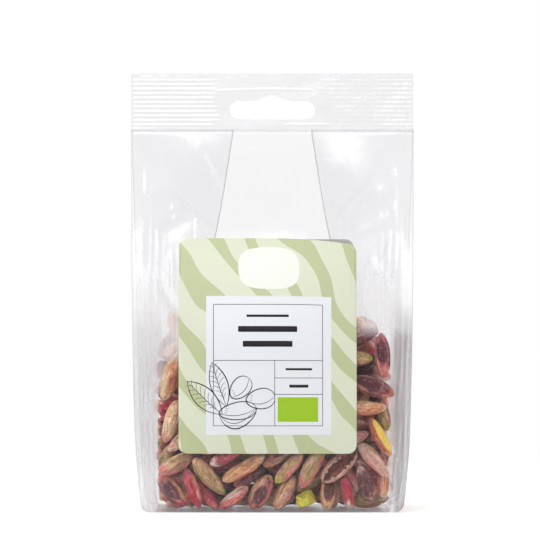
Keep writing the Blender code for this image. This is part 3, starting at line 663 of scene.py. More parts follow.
def label_sheet(name, side, droop, look):
    """A sheet with round corners: rows of points whose half width shrinks by a quarter circle at the top
    and bottom. Its UV map is the place on the label as a share of its width and height."""
    turn = np.linspace(0, math.pi / 2, 9)
    low = LABEL_CORNER * (1 - np.cos(turn))
    inset = LABEL_CORNER * (1 - np.sin(turn))
    middle = np.linspace(LABEL_CORNER, LABEL_HEIGHT - LABEL_CORNER, 64)[1:-1]
    up = np.concatenate([low, middle, LABEL_HEIGHT - low[::-1]])[:, None]
    inset = np.concatenate([inset, 0 * middle, inset[::-1]])[:, None]
    u = np.linspace(-1, 1, 61)[None, :]
    across = LABEL_WIDTH / 2 + u * (LABEL_WIDTH / 2 - inset)
    up = up + 0 * across
    points = on_label(across, up, side, droop, STAND_OFF + LABEL_PAPER)
    faces = quads(*across.shape)
    made = piece(name, points, [faces if side < 0 else faces[:, ::-1]], look)
    share = np.stack([across / LABEL_WIDTH, up / LABEL_HEIGHT], axis=-1).reshape(-1, 2)
    if side > 0:
        share[:, 0] = 1 - share[:, 0]
    layer = made.data.uv_layers.new(name="sheet")
    loops = np.empty(len(made.data.loops), np.int32)
    made.data.loops.foreach_get("vertex_index", loops)
    layer.uv.foreach_set("vector", share[loops].astype(np.float32).ravel())
    walled(made, LABEL_PAPER)
    return made


def group(name, inputs, outputs):
    """A new shader node group with named sockets, its input and its output node."""
    tree = bpy.data.node_groups.new(name, "ShaderNodeTree")
    for label, kind in inputs:
        tree.interface.new_socket(label, in_out="INPUT", socket_type=kind)
    for label, kind in outputs:
        tree.interface.new_socket(label, in_out="OUTPUT", socket_type=kind)
    return tree, tree.nodes.new("NodeGroupInput"), tree.nodes.new("NodeGroupOutput")


EDGES = ("Left", "Right", "Bottom", "Top")


def field_group():
    """A printed rectangle: 1 where a place lies between its edges both ways, and 0 outside."""
    sockets = [("Across", "NodeSocketFloat"), ("Up", "NodeSocketFloat")]
    sockets += [(edge, "NodeSocketFloat") for edge in EDGES]
    tree, taken, given = group("printed_field", sockets, [("Mask", "NodeSocketFloat")])
    inside = None
    for place, low, high in (("Across", "Left", "Right"), ("Up", "Bottom", "Top")):
        above = chain(tree, "GREATER_THAN", taken.outputs[place], taken.outputs[low])
        below = chain(tree, "LESS_THAN", taken.outputs[place], taken.outputs[high])
        both = chain(tree, "MULTIPLY", above, below)
        inside = both if inside is None else chain(tree, "MULTIPLY", inside, both)
    tree.links.new(inside, given.inputs["Mask"])
    return tree


def colour(red, green, blue):
    """A shader colour from display values of 0 to 255."""
    values = np.array([red, green, blue]) / 255
    values = np.where(values > 0.04045, ((values + 0.055) / 1.055) ** 2.4, values / 12.92)
    return (*(float(v) for v in values), 1.0)


PANEL = (10.4, 57.8, 7.2, 59.7)  # the white panel's edges, in mm on the label
GREEN_FIELD = (37.5, 52.8, 12.1, 21.4)
BLOB = (34.1, 70.0, 11.7, 7.9)  # middle across and up, half width, half height of the white shape on top
PALE_GREEN, BAND_GREEN, FIELD_GREEN = colour(205, 209, 187), colour(177, 184, 143), colour(146, 184, 30)
PANEL_WHITE, BLOB_WHITE, GLUED_SIDE = colour(216, 218, 222), colour(224, 226, 218), colour(222, 222, 218)
printed_field = field_group()


def paper(look, shade, roughness):
    """Coated paper: the printed colour under a slight sheen, with a faint fibre bump."""
    tree = look.node_tree
    fibre = noise(tree, add(tree, "TexCoord")["Object"], 900.0, 3.0)
    sheen = {"Roughness": roughness, "Specular IOR Level": 0.35, "Normal": bumped(tree, fibre, 0.12, 0.00008)}
    return finished(look, add(tree, "BsdfPrincipled", {"Base Color": shade, **sheen})[0])


def label_look():
    """The printed front label: bands, then the white panel, the green field and the white shape on top.
    The side that faces the bag is plain."""
    look, tree = new_look("label_print")
    sheet = add(tree, "UVMap", uv_map="sheet")[0]
    parts = add(tree, "SeparateXYZ", {0: sheet})
    across = chain(tree, "MULTIPLY", parts["X"], LABEL_WIDTH)
    up = chain(tree, "MULTIPLY", parts["Y"], LABEL_HEIGHT)
    warp = noise(tree, sheet, 2.3, 0.6)
    slant = chain(tree, "MULTIPLY_ADD", up, 0.60, chain(tree, "MULTIPLY", across, 0.80))
    slant = chain(tree, "MULTIPLY_ADD", warp, 26.0, slant)
    wave = chain(tree, "SINE", chain(tree, "MULTIPLY", slant, 2 * math.pi / 13.5))
    widths = chain(tree, "SINE", chain(tree, "MULTIPLY", up, 0.11))
    band = chain(tree, "GREATER_THAN", wave, chain(tree, "MULTIPLY_ADD", widths, 0.25, 0.28))
    shade = painted(tree, PALE_GREEN, band, BAND_GREEN)
    for edges, tint in ((PANEL, PANEL_WHITE), (GREEN_FIELD, FIELD_GREEN)):
        field = {"Across": across, "Up": up, **dict(zip(EDGES, edges))}
        shade = painted(tree, shade, add(tree, "Group", field, node_tree=printed_field)["Mask"], tint)
    reach = []
    for place, middle, half, power in ((across, BLOB[0], BLOB[2], 3.2), (up, BLOB[1], BLOB[3], 2.8)):
        share = chain(tree, "MULTIPLY_ADD", place, 1 / half, -middle / half)
        reach.append(chain(tree, "POWER", chain(tree, "ABSOLUTE", share), power))
    uneven = chain(tree, "MULTIPLY_ADD", warp, 0.8, 0.6)
    shade = painted(tree, shade, chain(tree, "LESS_THAN", chain(tree, "ADD", *reach), uneven), BLOB_WHITE)
    backwards = add(tree, "SeparateXYZ", {0: add(tree, "NewGeometry")["Normal"]})["Y"]
    shade = painted(tree, shade, chain(tree, "GREATER_THAN", backwards, 0.3), GLUED_SIDE)
    return paper(look, shade, 0.38)


front_label = label_sheet("front_label_sheet", -1, FRONT_DROOP, label_look())
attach(front_label, "root")
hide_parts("front_label")

# ---------------------------------------------------------------- the print on the front label
# Ink lines: the ruled frame, the drawing of two leaves and a few nuts, and bars that stand for words.

INK_LIFT = STAND_OFF + LABEL_PAPER + 0.02
INK_THICKNESS = 0.015
FRAME_LINE = 0.2


def ribbon(path, width, taper=0.0, rounded=False):
    """A flat strip along a path of label points: each point moved aside by half the width, which
    narrows towards the ends by the taper's share, or as a half circle. Returns its points in two rows."""
    path = np.asarray(path, float)
    run = np.gradient(path, axis=0)
    run /= np.maximum(np.hypot(run[:, 0], run[:, 1]), 1e-9)[:, None]
    t = np.linspace(-1, 1, len(path))
    half = width / 2 * (1 - taper * np.abs(t) ** 3)[:, None]
    if rounded:
        length = np.hypot(*(path[-1] - path[0]))
        past = np.clip((np.abs(t) - 1) * length / width + 1, 0, 1)
        half = width / 2 * np.maximum(np.sqrt(1 - past**2), 0.06)[:, None]
    aside = np.stack([-run[:, 1], run[:, 0]], axis=1)
    return np.stack([path + aside * half, path - aside * half])


def arc_path(start, stop, bulge, count=22):
    """A bow from start to stop: the straight line moved aside by a parabola as high as the bulge."""
    start, stop = np.array(start, float), np.array(stop, float)
    t = np.linspace(0, 1, count)[:, None]
    along_line = stop - start
    aside = np.array([-along_line[1], along_line[0]]) / np.hypot(*along_line)
    return start + along_line * t + aside * bulge * 4 * t * (1 - t)


def leaf_paths(foot, tip, width, veins=5):
    """A leaf: two bows from foot to tip, a midrib, and pairs of veins that bow towards the tip."""
    foot, tip = np.array(foot, float), np.array(tip, float)
    aside = np.array([-(tip - foot)[1], (tip - foot)[0]]) / np.hypot(*(tip - foot))
    paths = [(arc_path(foot, tip, width / 2), 0.32), (arc_path(foot, tip, -width / 2), 0.42)]
    paths.append((arc_path(foot, tip, width * 0.04), 0.26))
    for k in range(veins):
        t = 0.16 + 0.66 * k / (veins - 1)
        reach = width / 2 * 4 * t * (1 - t)
        for hand in (1, -1):
            begin = foot + (tip - foot) * t
            end = foot + (tip - foot) * min(0.95, t + 0.13) + aside * hand * reach * 0.86
            paths.append((arc_path(begin, end, -0.5 * hand, 9), 0.16))
    return paths


def nut_paths(middle, half, radius, lean, open_by=0.0):
    """A nut: an egg outline, a seam bowed along it, and short strokes at its blunt end. With open_by, the
    lower shell hangs down by that much."""
    turn = np.linspace(0, 2 * math.pi, 48)
    c, s = math.cos(lean), math.sin(lean)
    egg_x = half * np.cos(turn)
    egg_z = radius * np.sin(turn) * (1 + 0.16 * np.cos(turn))

    def placed(x, z):
        return np.stack([middle[0] + x * c - z * s, middle[1] + x * s + z * c], axis=1)

    paths = [(placed(egg_x, egg_z), 0.4)]
    t = np.linspace(-1, 1, 26)
    paths.append((placed(half * 0.97 * t, -radius * 0.5 * (1 - t**2)), 0.22))
    for k in range(4):
        t = np.linspace(0, 1, 7)
        start = 0.62 - 0.05 * k
        x = half * (-start - 0.16 * t)
        z = radius * (-0.25 + 0.22 * k + 0.03 * t)
        paths.append((placed(x, z), 0.14))
    if open_by:
        t = np.linspace(-1, 1, 30)
        drop = radius * 0.5 + open_by * (0.3 + 0.7 * (1 - t) / 2)
        paths.append((placed(half * t, -drop * (1 - t**2) ** 0.8), 0.24))
        paths.append((placed(half * t * 1.02, -(drop + radius * 0.62) * (1 - t**2) ** 0.6), 0.44))
        for k in range(5):
            s0 = -0.7 + 0.16 * k
            t = np.linspace(0, 1, 6)
            x = half * (s0 + 0.05 * t)
            z = -(radius * 0.7 + open_by) * (1 - s0**2) ** 0.6 - radius * 0.3 * t
            paths.append((placed(x, z), 0.14))
    return paths


def print_paths():
    """All ink lines as (path, width) in millimetres on the label."""
    left, right, bottom, top = 13.2, 54.5, 10.6, 56.5
    lines = [
        ((left, bottom), (right, bottom)), ((left, top), (right, top)),
        ((left, bottom), (left, top)), ((right, bottom), (right, top)),
        ((left, 35.3), (right, 35.3)), ((36.4, bottom), (36.4, 35.3)),
        ((36.4, 28.7), (right, 28.7)), ((36.4, 22.5), (right, 22.5)),
    ]  # fmt: skip
    paths = [(np.linspace(a, b, 30), FRAME_LINE) for a, b in lines]
    paths += leaf_paths((16.6, 14.8), (3.2, 27.4), 7.4, 7)
    paths += leaf_paths((18.2, 17.8), (12.6, 34.6), 6.6, 7)
    paths += nut_paths((23.4, 24.9), 4.9, 3.5, math.radians(48))
    paths += nut_paths((31.0, 20.8), 5.5, 3.8, math.radians(8))
    paths += nut_paths((22.4, 16.2), 7.1, 3.3, math.radians(8), open_by=4.2)
    # bars in place of words: middle across, up, half length, height
    for x, z, half, high in (
        (33.7, 52.2, 8.0, 0.9),
        (33.7, 47.2, 11.2, 2.2),
        (33.7, 41.6, 9.4, 2.2),
        (45.5, 32.0, 5.0, 0.8),
        (45.5, 25.6, 3.6, 1.1),
    ):
        share = np.sin(np.linspace(-math.pi / 2, math.pi / 2, 40))[:, None]
        paths.append((np.array((x, z)) + share * np.array((half, 0.0)), high))
    return paths


def ink_look():
    """Black printing ink, a little uneven."""
    look, tree = new_look("black_ink")
    cover = noise(tree, add(tree, "TexCoord")["Object"], 1400.0)
    shade = painted(tree, colour(16, 15, 17), cover, colour(46, 44, 48))
    flat = {"Roughness": 0.5, "Specular IOR Level": 0.2, "Base Color": shade}
    return finished(look, add(tree, "BsdfPrincipled", flat)[0])


def print_piece(name, strips, side, droop, look):
    """One thin piece of ink from strips of two rows of points each, in millimetres on the label."""
    points, faces, count = [], [], 0
    for strip in strips:
        points.append(on_label(strip[..., 0], strip[..., 1], side, droop, INK_LIFT).reshape(-1, 3))
        faces.append(quads(*strip.shape[:2])[:, ::-1] + count)
        count += len(points[-1])
    made = piece(name, np.concatenate(points), faces, look)
    walled(made, INK_THICKNESS)
    return made


black_ink = ink_look()
strips = [
    ribbon(path, width, taper=0.0 if width == FRAME_LINE else 0.6, rounded=width > 0.5)
    for path, width in print_paths()
]
ink = print_piece("front_label_print", strips, -1, FRONT_DROOP, black_ink)
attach(ink, "root")

# ---------------------------------------------------------------- the back label
# A plain off-white paper sticker, set as the front one. Its small print is rows of black dashes.


def back_label_look():
    """Off-white paper, slightly mottled."""
    look, tree = new_look("back_label_paper")
    mottle = noise(tree, add(tree, "TexCoord")["Object"], 60.0, 4.0)
    return paper(look, painted(tree, colour(222, 222, 219), mottle, colour(212, 212, 210)), 0.55)


back_label = label_sheet("back_label_sheet", 1, 0.0, back_label_look())
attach(back_label, "root")
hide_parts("back_label")

DASH_ROWS, ROW_PITCH, TOP_ROW = 17, 3.4, 70.0
EMPTY_ROWS, SHORT_ROWS = (3, 9), (2, 8, 16)


def dashes():
    """Rows of dashes with random lengths, as word after word, the first row as a heading. Across is counted
    from the right, since the label is seen from behind."""
    dice = random.Random(11)
    strips = []
    for row in range(DASH_ROWS):
        if row in EMPTY_ROWS:
            continue
        up = TOP_ROW - row * ROW_PITCH
        start = 8.0
        stop = 30.0 if row in SHORT_ROWS else 59.0
        while start < stop - 3:
            finish = min(stop, start + (2.5 + 6.5 * dice.random()))
            strip = ribbon(np.linspace((start, up), (finish, up), 6), 1.0 if row else 1.8)
            strip[..., 0] = LABEL_WIDTH - strip[..., 0]
            strips.append(strip)
            start = finish + 1.1
    return strips


small = print_piece("back_label_print", dashes(), 1, 0.0, black_ink)
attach(small, "root")

# ---------------------------------------------------------------- the kernels
# Shelled raw pistachios, 15 to 19 mm long, each in its thin wrinkled skin: tan and olive on one side,
# pink to purple on the other, some skinned or broken. They lie loose, pressed against the film.

KERNELS = 325
SEPARATE_KERNELS = 55
KERNEL_HALF_LENGTH = (7.7, 9.6)
KERNEL_RADIUS = (3.8, 4.5)
KERNEL_EASE = 0.975  # a kernel's size as a share of the room that was kept for it
BALL_PLACES = (-0.65, -0.337, 0.0, 0.337, 0.65)  # of the balls that stand for a kernel, along its half length
SETTLE_ROUNDS = 1000
SETTLE_SINK = 0.08  # the first round's
SINKING_SHARE = 0.55  # of the rounds, after which no kernel sinks any more
PAIRS_RENEWED = 12  # rounds after which the list of near kernels is made again
PAIR_REACH = 21.5
INERTIA = 22.0  # a kernel's resistance to turning over its resistance to moving, in square millimetres
PUSH_SHARE = 1.2
LAYER_PITCH = 6.2
HEAP_TOP = (75.0, 0.12, 0.36)  # the heap's height in the middle and its slope across and to the back
SEED = 3
CLEAR, MARGIN = 0.3, 0.05  # the gap kept between kernels and to the film, and what is added to be sure of it
FILM = 0.1
BASE_PLIES = 4
LAID_LAYER = 6.5
LAID_HOLD = 0.03  # how much a laid kernel gives way as a share of what the others do
# Kernels laid against the front panel: across, up, lean from level in degrees, half length, radius,
# layers behind the panel
LAID = (
    (-38.2, 51.4, 70, 9.6, 4.2, 0), (-39.6, 32.6, 86, 8.6, 3.4, 0), (-34.3, 27.4, 60, 8.4, 3.4, 0.3),
    (-41.5, 21.5, 20, 7.6, 3.4, 1), (-37.6, 18.7, 27, 7.6, 3.9, 0), (-38.3, 9.2, -38, 8.0, 3.9, 0),
    (-29.4, 9.6, -66, 8.0, 3.0, 0.2), (-25.6, 14.1, -52, 9.3, 3.7, 0), (-24.4, 6.9, -58, 7.0, 3.0, 0.6),
    (-22.5, 4.0, -8, 7.4, 3.2, 1), (-16.1, 20.2, 30, 8.4, 3.5, 0.2), (-10.7, 16.4, 30, 9.5, 3.7, 0),
    (-9.2, 10.7, 20, 7.0, 3.2, 0.8), (-16.1, 8.4, 10, 7.6, 3.3, 1.2), (-13.8, 5.0, 35, 7.0, 3.1, 0.2),
    (-34.3, 3.6, 15, 7.0, 3.0, 1), (-3.9, 8.1, 68, 7.6, 4.4, 0), (4.4, 20.2, 28, 8.4, 3.7, 0.3),
    (7.1, 17.2, 43, 7.8, 3.1, 0), (15.5, 16.8, 42, 9.0, 3.9, 0), (6.0, 6.9, 48, 7.4, 3.9, 0.2),
    (16.6, 10.7, 25, 8.0, 3.5, 1), (13.2, 3.9, 5, 5.0, 3.4, 0), (20.8, 6.9, 86, 6.8, 4.0, 0),
    (25.0, 16.4, 40, 9.2, 4.1, 0), (28.0, 7.7, 78, 6.6, 3.5, 0), (35.2, 11.9, 100, 7.2, 3.9, 0),
    (39.4, 19.1, -27, 9.0, 3.7, 0), (40.9, 27.4, -68, 8.6, 3.6, 0), (43.4, 25.5, -78, 8.4, 3.2, 0.8),
    (42.8, 11.5, 55, 6.2, 2.8, 0.3), (37.5, 4.6, 12, 7.6, 3.3, 0.8), (33.7, 65.4, 12, 8.2, 3.7, 0),
    (30.7, 59.3, 5, 7.8, 3.6, 0), (34.8, 53.6, 40, 7.4, 3.5, 1), (41.7, 59.0, 96, 8.8, 3.9, 0),
    (39.8, 46.4, -10, 8.9, 4.6, 0), (36.4, 39.2, -14, 8.5, 3.5, 0), (43.0, 35.4, -58, 7.4, 3.5, 0.8),
    (30.3, 33.5, -5, 8.0, 3.3, 0.4), (30.3, 27.8, 20, 8.4, 3.5, 0.2), (34.1, 24.0, 30, 7.6, 3.3, 1.3),
)  # fmt: skip


def crossed(axis, normal):
    """axis x normal, row by row."""
    return np.stack(
        [
            axis[:, 1] * normal[:, 2] - axis[:, 2] * normal[:, 1],
            axis[:, 2] * normal[:, 0] - axis[:, 0] * normal[:, 2],
            axis[:, 0] * normal[:, 1] - axis[:, 1] * normal[:, 0],
        ],
        axis=1,
    )


def length_of(rows):
    """Length of each row's vector."""
    return np.sqrt(rows[:, 0] ** 2 + rows[:, 1] ** 2 + rows[:, 2] ** 2)


def above_floor(x, y, z):
    """Height over the base's plies."""
    return z - BASE_PLIES * FILM


def inside_panels(x, y, z):
    """Distance from the nearer panel's inner face, front to back."""
    return panel_depth(x, z) - FILM - np.abs(y)


def inside_gussets(x, y, z):
    """Distance from the nearer gusset's inner face, across."""
    return gusset_reach(x, y, z) - 2 * FILM - np.abs(x)


def under_top(x, y, z):
    """Keeps the heap's top sloping: lowest at the front left, highest along the back."""
    return HEAP_TOP[0] + HEAP_TOP[1] * x + HEAP_TOP[2] * y - z


def room_from(wall, points):
    """Distance of points from a wall of the bag and the direction away from it."""
    x, y, z = points[:, 0], points[:, 1], np.clip(points[:, 2], 0.3, BODY_HEIGHT - 0.3)
    step = 0.25
    away = np.stack(
        [
            wall(x + step, y, z) - wall(x - step, y, z),
            wall(x, y + step, z) - wall(x, y - step, z),
            wall(x, y, z + step) - wall(x, y, z - step),
        ],
        axis=1,
    ) / (2 * step)
    steepness = length_of(away)
    return wall(x, y, points[:, 2] if wall is above_floor else z) / steepness, away / steepness[:, None]


def scattered(rng):
    """Where the kernels start: the laid ones against the front panel, the others in loose layers,
    each with its own tilt and size."""
    draws = np.array([[rng.random() for _ in range(9)] for _ in range(KERNELS)])
    columns, ranks = 6, 5
    order = np.arange(KERNELS)
    cell = order % (columns * ranks)
    layer = order // (columns * ranks)
    places = np.stack(
        [
            (cell % columns - (columns - 1) / 2) * 15.0 + (draws[:, 0] - 0.5) * 6,
            (cell // columns - (ranks - 1) / 2) * 10.0 + (draws[:, 1] - 0.5) * 3,
            6.0 + layer * LAYER_PITCH + (draws[:, 2] - 0.5) * 3,
        ],
        axis=1,
    )
    axes = draws[:, 3:6] * 2 - 1
    axes[:, 2] *= 0.7
    axes /= length_of(axes)[:, None]
    halves = KERNEL_HALF_LENGTH[0] + (KERNEL_HALF_LENGTH[1] - KERNEL_HALF_LENGTH[0]) * draws[:, 6]
    radii = KERNEL_RADIUS[0] + (KERNEL_RADIUS[1] - KERNEL_RADIUS[0]) * draws[:, 7]
    for k, (x, z, lean, half, radius, layers) in enumerate(LAID):
        y = radius + 0.5 + layers * LAID_LAYER - float(panel_depth(x, z))
        places[k] = (x, y, z)
        axes[k] = (math.cos(math.radians(lean)), 0.0, math.sin(math.radians(lean)))
        halves[k], radii[k] = half, radius
    return places, np.round(axes, 8), halves, radii, draws[:, 8]


def settled():
    """Places, axes, half lengths, radii and rolls of all kernels after they have sunk and pushed each
    other apart, exactly as the frame's kernels did.

    Each kernel is a row of balls inscribed in it. In each round it sinks a little, less and less, and
    then every pair of balls that overlap, and every ball that crosses the film, moves its kernels apart
    and turns them. The laid kernels are drawn back to their places meanwhile."""
    places, axes, halves, radii, rolls = scattered(random.Random(SEED))
    balls = len(BALL_PLACES)
    at = np.array(BALL_PLACES)[None, :] * halves[:, None]
    ball = radii[:, None] * np.sqrt(1 - at**2 / (halves**2 - radii**2)[:, None])
    owner = np.repeat(np.arange(KERNELS), balls)
    laid = len(LAID)
    home, home_axes = places[:laid].copy(), axes[:laid].copy()
    give = np.ones(KERNELS)
    give[:laid] = LAID_HOLD

    def weight(body, where, normal):
        turn = crossed(axes[body], normal)
        return give[body] * (1 + (turn[:, 0] ** 2 + turn[:, 1] ** 2 + turn[:, 2] ** 2) * where**2 / INERTIA)

    for round_ in range(SETTLE_ROUNDS):
        if round_ % PAIRS_RENEWED == 0:
            gap = places[:, None, :] - places[None, :, :]
            near = gap[..., 0] ** 2 + gap[..., 1] ** 2 + gap[..., 2] ** 2 < PAIR_REACH**2
            first, second = np.nonzero(np.triu(near, 1))
            one = np.repeat(first, balls * balls)
            two = np.repeat(second, balls * balls)
            ball_one = np.tile(np.repeat(np.arange(balls), balls), len(first))
            ball_two = np.tile(np.arange(balls), len(first) * balls)
        pull = max(0.0, 1 - round_ / (SETTLE_ROUNDS * SINKING_SHARE))
        places[laid:, 2] -= SETTLE_SINK * pull
        places[:laid] += (home - places[:laid]) * (0.1 * pull)
        axes[:laid] += (home_axes - axes[:laid]) * (0.1 * pull)
        centres = places[:, None, :] + at[:, :, None] * axes[:, None, :]
        between = centres[one, ball_one] - centres[two, ball_two]
        reach = ball[one, ball_one] + ball[two, ball_two] + CLEAR + MARGIN
        squared = between[:, 0] ** 2 + between[:, 1] ** 2 + between[:, 2] ** 2
        hit = squared < reach**2
        distance = np.sqrt(squared[hit]) + 1e-9
        normal = between[hit] / distance[:, None]
        body_one, body_two = one[hit], two[hit]
        at_one, at_two = at[body_one, ball_one[hit]], at[body_two, ball_two[hit]]
        share = (reach[hit] - distance) / (
            weight(body_one, at_one, normal) + weight(body_two, at_two, normal)
        )
        pushes = [(body_one, at_one, normal, share), (body_two, at_two, -normal, share)]

        flat = centres.reshape(-1, 3)
        for wall in (above_floor, inside_panels, inside_gussets, under_top):
            room, away = room_from(wall, flat)
            wanted = ball.reshape(-1) + CLEAR + MARGIN
            pressed = room < wanted
            depth = (wanted - room)[pressed]
            body, where, normal = owner[pressed], at.reshape(-1)[pressed], away[pressed]
            pushes.append((body, where, normal, depth / weight(body, where, normal)))

        move, turn, touches = np.zeros((KERNELS, 3)), np.zeros((KERNELS, 3)), np.zeros(KERNELS)
        for body, where, normal, share in pushes:
            twist = crossed(axes[body], normal) * (where * share / INERTIA)[:, None]
            for k in range(3):
                move[:, k] += np.bincount(body, weights=normal[:, k] * share, minlength=KERNELS)
                turn[:, k] += np.bincount(body, weights=twist[:, k], minlength=KERNELS)
            touches += np.bincount(body, minlength=KERNELS)
        ease = (PUSH_SHARE * give / np.sqrt(np.maximum(touches, 1.0)))[:, None]
        places += move * ease
        axes += crossed(turn * ease, axes)
        axes /= length_of(axes)[:, None]
        places, axes = np.round(places, 6), np.round(axes, 8)
    return places, axes, halves, radii, rolls


# Skin colours by name, as display values
SKIN = {
    "tan": (246, 191, 151),
    "sand": (250, 210, 168),
    "orange": (250, 178, 128),
    "rust": (218, 123, 92),
    "olive": (210, 174, 124),
    "moss": (165, 138, 92),
    "green": (189, 184, 82),
    "lime": (218, 212, 74),
    "yellow": (233, 193, 76),
    "rose": (246, 146, 136),
    "pink": (250, 197, 183),
    "pale": (246, 220, 206),
    "magenta": (204, 81, 99),
    "crimson": (208, 55, 74),
    "purple": (148, 72, 88),
    "plum": (106, 53, 65),
    "dark": (66, 38, 46),
    "brown": (184, 114, 92),
    "mauve": (201, 134, 128),
}
# How each laid kernel is coloured: main, upper side, lower side, lower or left tip, upper or right tip
LAID_LOOKS = (
    "orange sand orange sand sand", "sand sand tan rose tan", "orange sand orange pink sand",
    "moss olive dark moss moss", "olive sand magenta rose tan", "purple orange plum rose magenta",
    "crimson rose crimson magenta magenta", "olive tan moss tan green", "magenta purple crimson magenta rose",
    "mauve brown plum brown mauve", "magenta rose plum pale purple", "orange sand rust orange sand",
    "purple magenta plum rose purple", "plum purple dark plum dark", "rose pale magenta crimson pink",
    "rose tan brown pink tan", "purple tan magenta rose tan", "mauve brown tan orange brown",
    "olive tan rose lime tan", "olive sand rose rose green", "tan olive mauve tan olive",
    "olive moss moss olive green", "lime yellow lime lime yellow", "orange tan orange tan tan",
    "rose pink mauve pale pink", "crimson magenta purple pale magenta", "rose pink mauve purple pale",
    "pink olive rose pale pink", "rust yellow rust brown orange", "mauve purple plum mauve mauve",
    "orange rose rust pink orange", "moss olive brown moss brown", "purple mauve plum rose purple",
    "olive moss brown olive green", "plum purple dark plum dark", "magenta rose purple rose magenta",
    "purple plum rust mauve rust", "orange tan rose rose pink", "olive purple moss plum green",
    "brown mauve brown mauve brown", "mauve tan brown tan mauve", "dark brown dark dark brown",
)  # fmt: skip
# The dark face where the seed leaves met, for those that show it, by their place in the list from 1: its
# colour, place along and around, length and width
LAID_FACES = {
    1: ("rust", -0.15, -0.35, 0.4, 0.4),
    5: ("brown", 0.1, -0.5, 0.45, 0.35),
    6: ("plum", 0.1, 0.0, 0.55, 0.6),
    11: ("magenta", 0.2, 0.1, 0.5, 0.5),
    17: ("plum", -0.05, -0.1, 0.55, 0.6),
    18: ("plum", 0.1, 0.4, 0.5, 0.5),
    24: ("plum", 0.05, 0.0, 0.7, 0.55),
    27: ("plum", 0.0, 0.0, 0.85, 0.9),
    36: ("plum", 0.1, 0.1, 0.6, 0.6),
    37: ("plum", -0.2, 0.3, 0.6, 0.7),
}
# Looks and faces that the other kernels draw from
OTHER_LOOKS = (
    "tan sand magenta rose tan", "orange sand rust orange pink", "purple tan magenta rose tan",
    "olive tan rose rose tan", "magenta rose purple pink magenta", "rose pink mauve magenta tan",
    "tan olive mauve pink rose", "mauve tan plum brown rose", "crimson rose magenta magenta pink",
    "brown moss plum tan green", "purple magenta plum rose mauve", "plum purple dark brown magenta",
    "orange tan rose rose sand",
)  # fmt: skip
OTHER_FACES = {
    2: ("brown", 0.0, 0.0, 0.5, 0.5),
    3: ("plum", 0.0, 0.0, 0.6, 0.7),
    5: ("plum", 0.1, 0.0, 0.6, 0.6),
    8: ("plum", 0.0, 0.2, 0.5, 0.5),
}
CHUNK, SPLIT_SHELL, CUT = 23, 25, 29  # laid kernels that are broken: their places in the list from 1
CHUNK_PLANES = 17
SHELL_WALL = 0.5


def cloud(points, rng, wavelength, count=7):
    """Smooth noise of about -1 to 1 at points: a sum of cosines in random directions."""
    ways = rng.normal(size=(count, 3))
    waves = (2 * math.pi / wavelength) * rng.uniform(0.7, 1.4, (count, 1))
    ways *= waves / np.linalg.norm(ways, axis=1)[:, None]
    turns = rng.uniform(0, 2 * math.pi, count)
    return np.cos(points @ ways.T + turns).sum(axis=-1) / math.sqrt(count / 2) * 0.6


def mixed(base, tint, share):
    """A colour array moved towards a tint by a share per point."""
    return base + (np.asarray(tint) - base) * np.clip(share, 0, 1)[..., None]


def linear(name):
    """A named skin colour as an array of shader values."""
    return np.array(colour(*SKIN[name])[:3])


def apart(turn, around):
    """How far angles are from another one, from half a turn behind it to half a turn ahead."""
    return np.angle(np.exp(1j * (turn - around)))


def painted_skin(t, turn, points, look, rng, roll):
    """Skin colour at points of a kernel, t along it from -1 to 1 and turn around it with 0 facing the
    viewer and a quarter turn upwards. A look is five colour names and a face or None: the main colour
    gives way to the upper and lower side's, then to the tips', with ragged borders, and the face is an
    oval where the skin is darkest."""
    names, face = look
    main, upper, lower, low_tip, high_tip = (linear(name) for name in names.split())
    wide, fine = cloud(points, rng, 9.0), cloud(points, rng, 2.6)
    long_streaks = cloud(points * np.array([0.18, 1.0, 1.0]), rng, 2.2, 9)
    ragged = 0.30 * wide + 0.14 * fine + 0.22 * long_streaks
    turn = turn + roll
    shade = main + 0 * points
    shade = mixed(shade, upper, 0.95 * eased(np.sin(turn) + ragged, 0.25, 0.75))
    shade = mixed(shade, lower, 0.95 * eased(-np.sin(turn) + ragged, 0.35, 0.85))
    shade = mixed(shade, low_tip, eased(-t + 0.5 * ragged, 0.52, 0.86))
    shade = mixed(shade, high_tip, eased(t + 0.5 * ragged, 0.58, 0.9))
    if face:
        tint, at, around, long, wide_by = face
        oval = ((t - at) / long) ** 2 + (apart(turn, around) / (wide_by * 1.5)) ** 2 + 0.35 * ragged
        shade = mixed(shade, linear(tint), 0.95 * (1 - eased(oval, 0.55, 1.15)))
        ring = np.exp(-(((oval - 1.15) / 0.22) ** 2))
        shade = mixed(shade, linear("pink"), 0.30 * ring)
    shade = mixed(shade, linear("pale"), 0.25 * eased(long_streaks, 0.75, 1.3))
    shade = mixed(shade, linear("dark"), 0.35 * eased(-long_streaks, 0.7, 1.3))
    return shade * (1 + 0.10 * wide[..., None] + 0.06 * fine[..., None])


def ring_places(rings, spokes):
    """Where a kernel's rings of points are: along it, -1 to 1 and closer together at the tips, and around
    it as an angle."""
    t = -np.cos(np.linspace(0, math.pi, rings + 2))[1:-1, None]
    return t, np.linspace(0, 2 * math.pi, spokes, endpoint=False)[None, :]


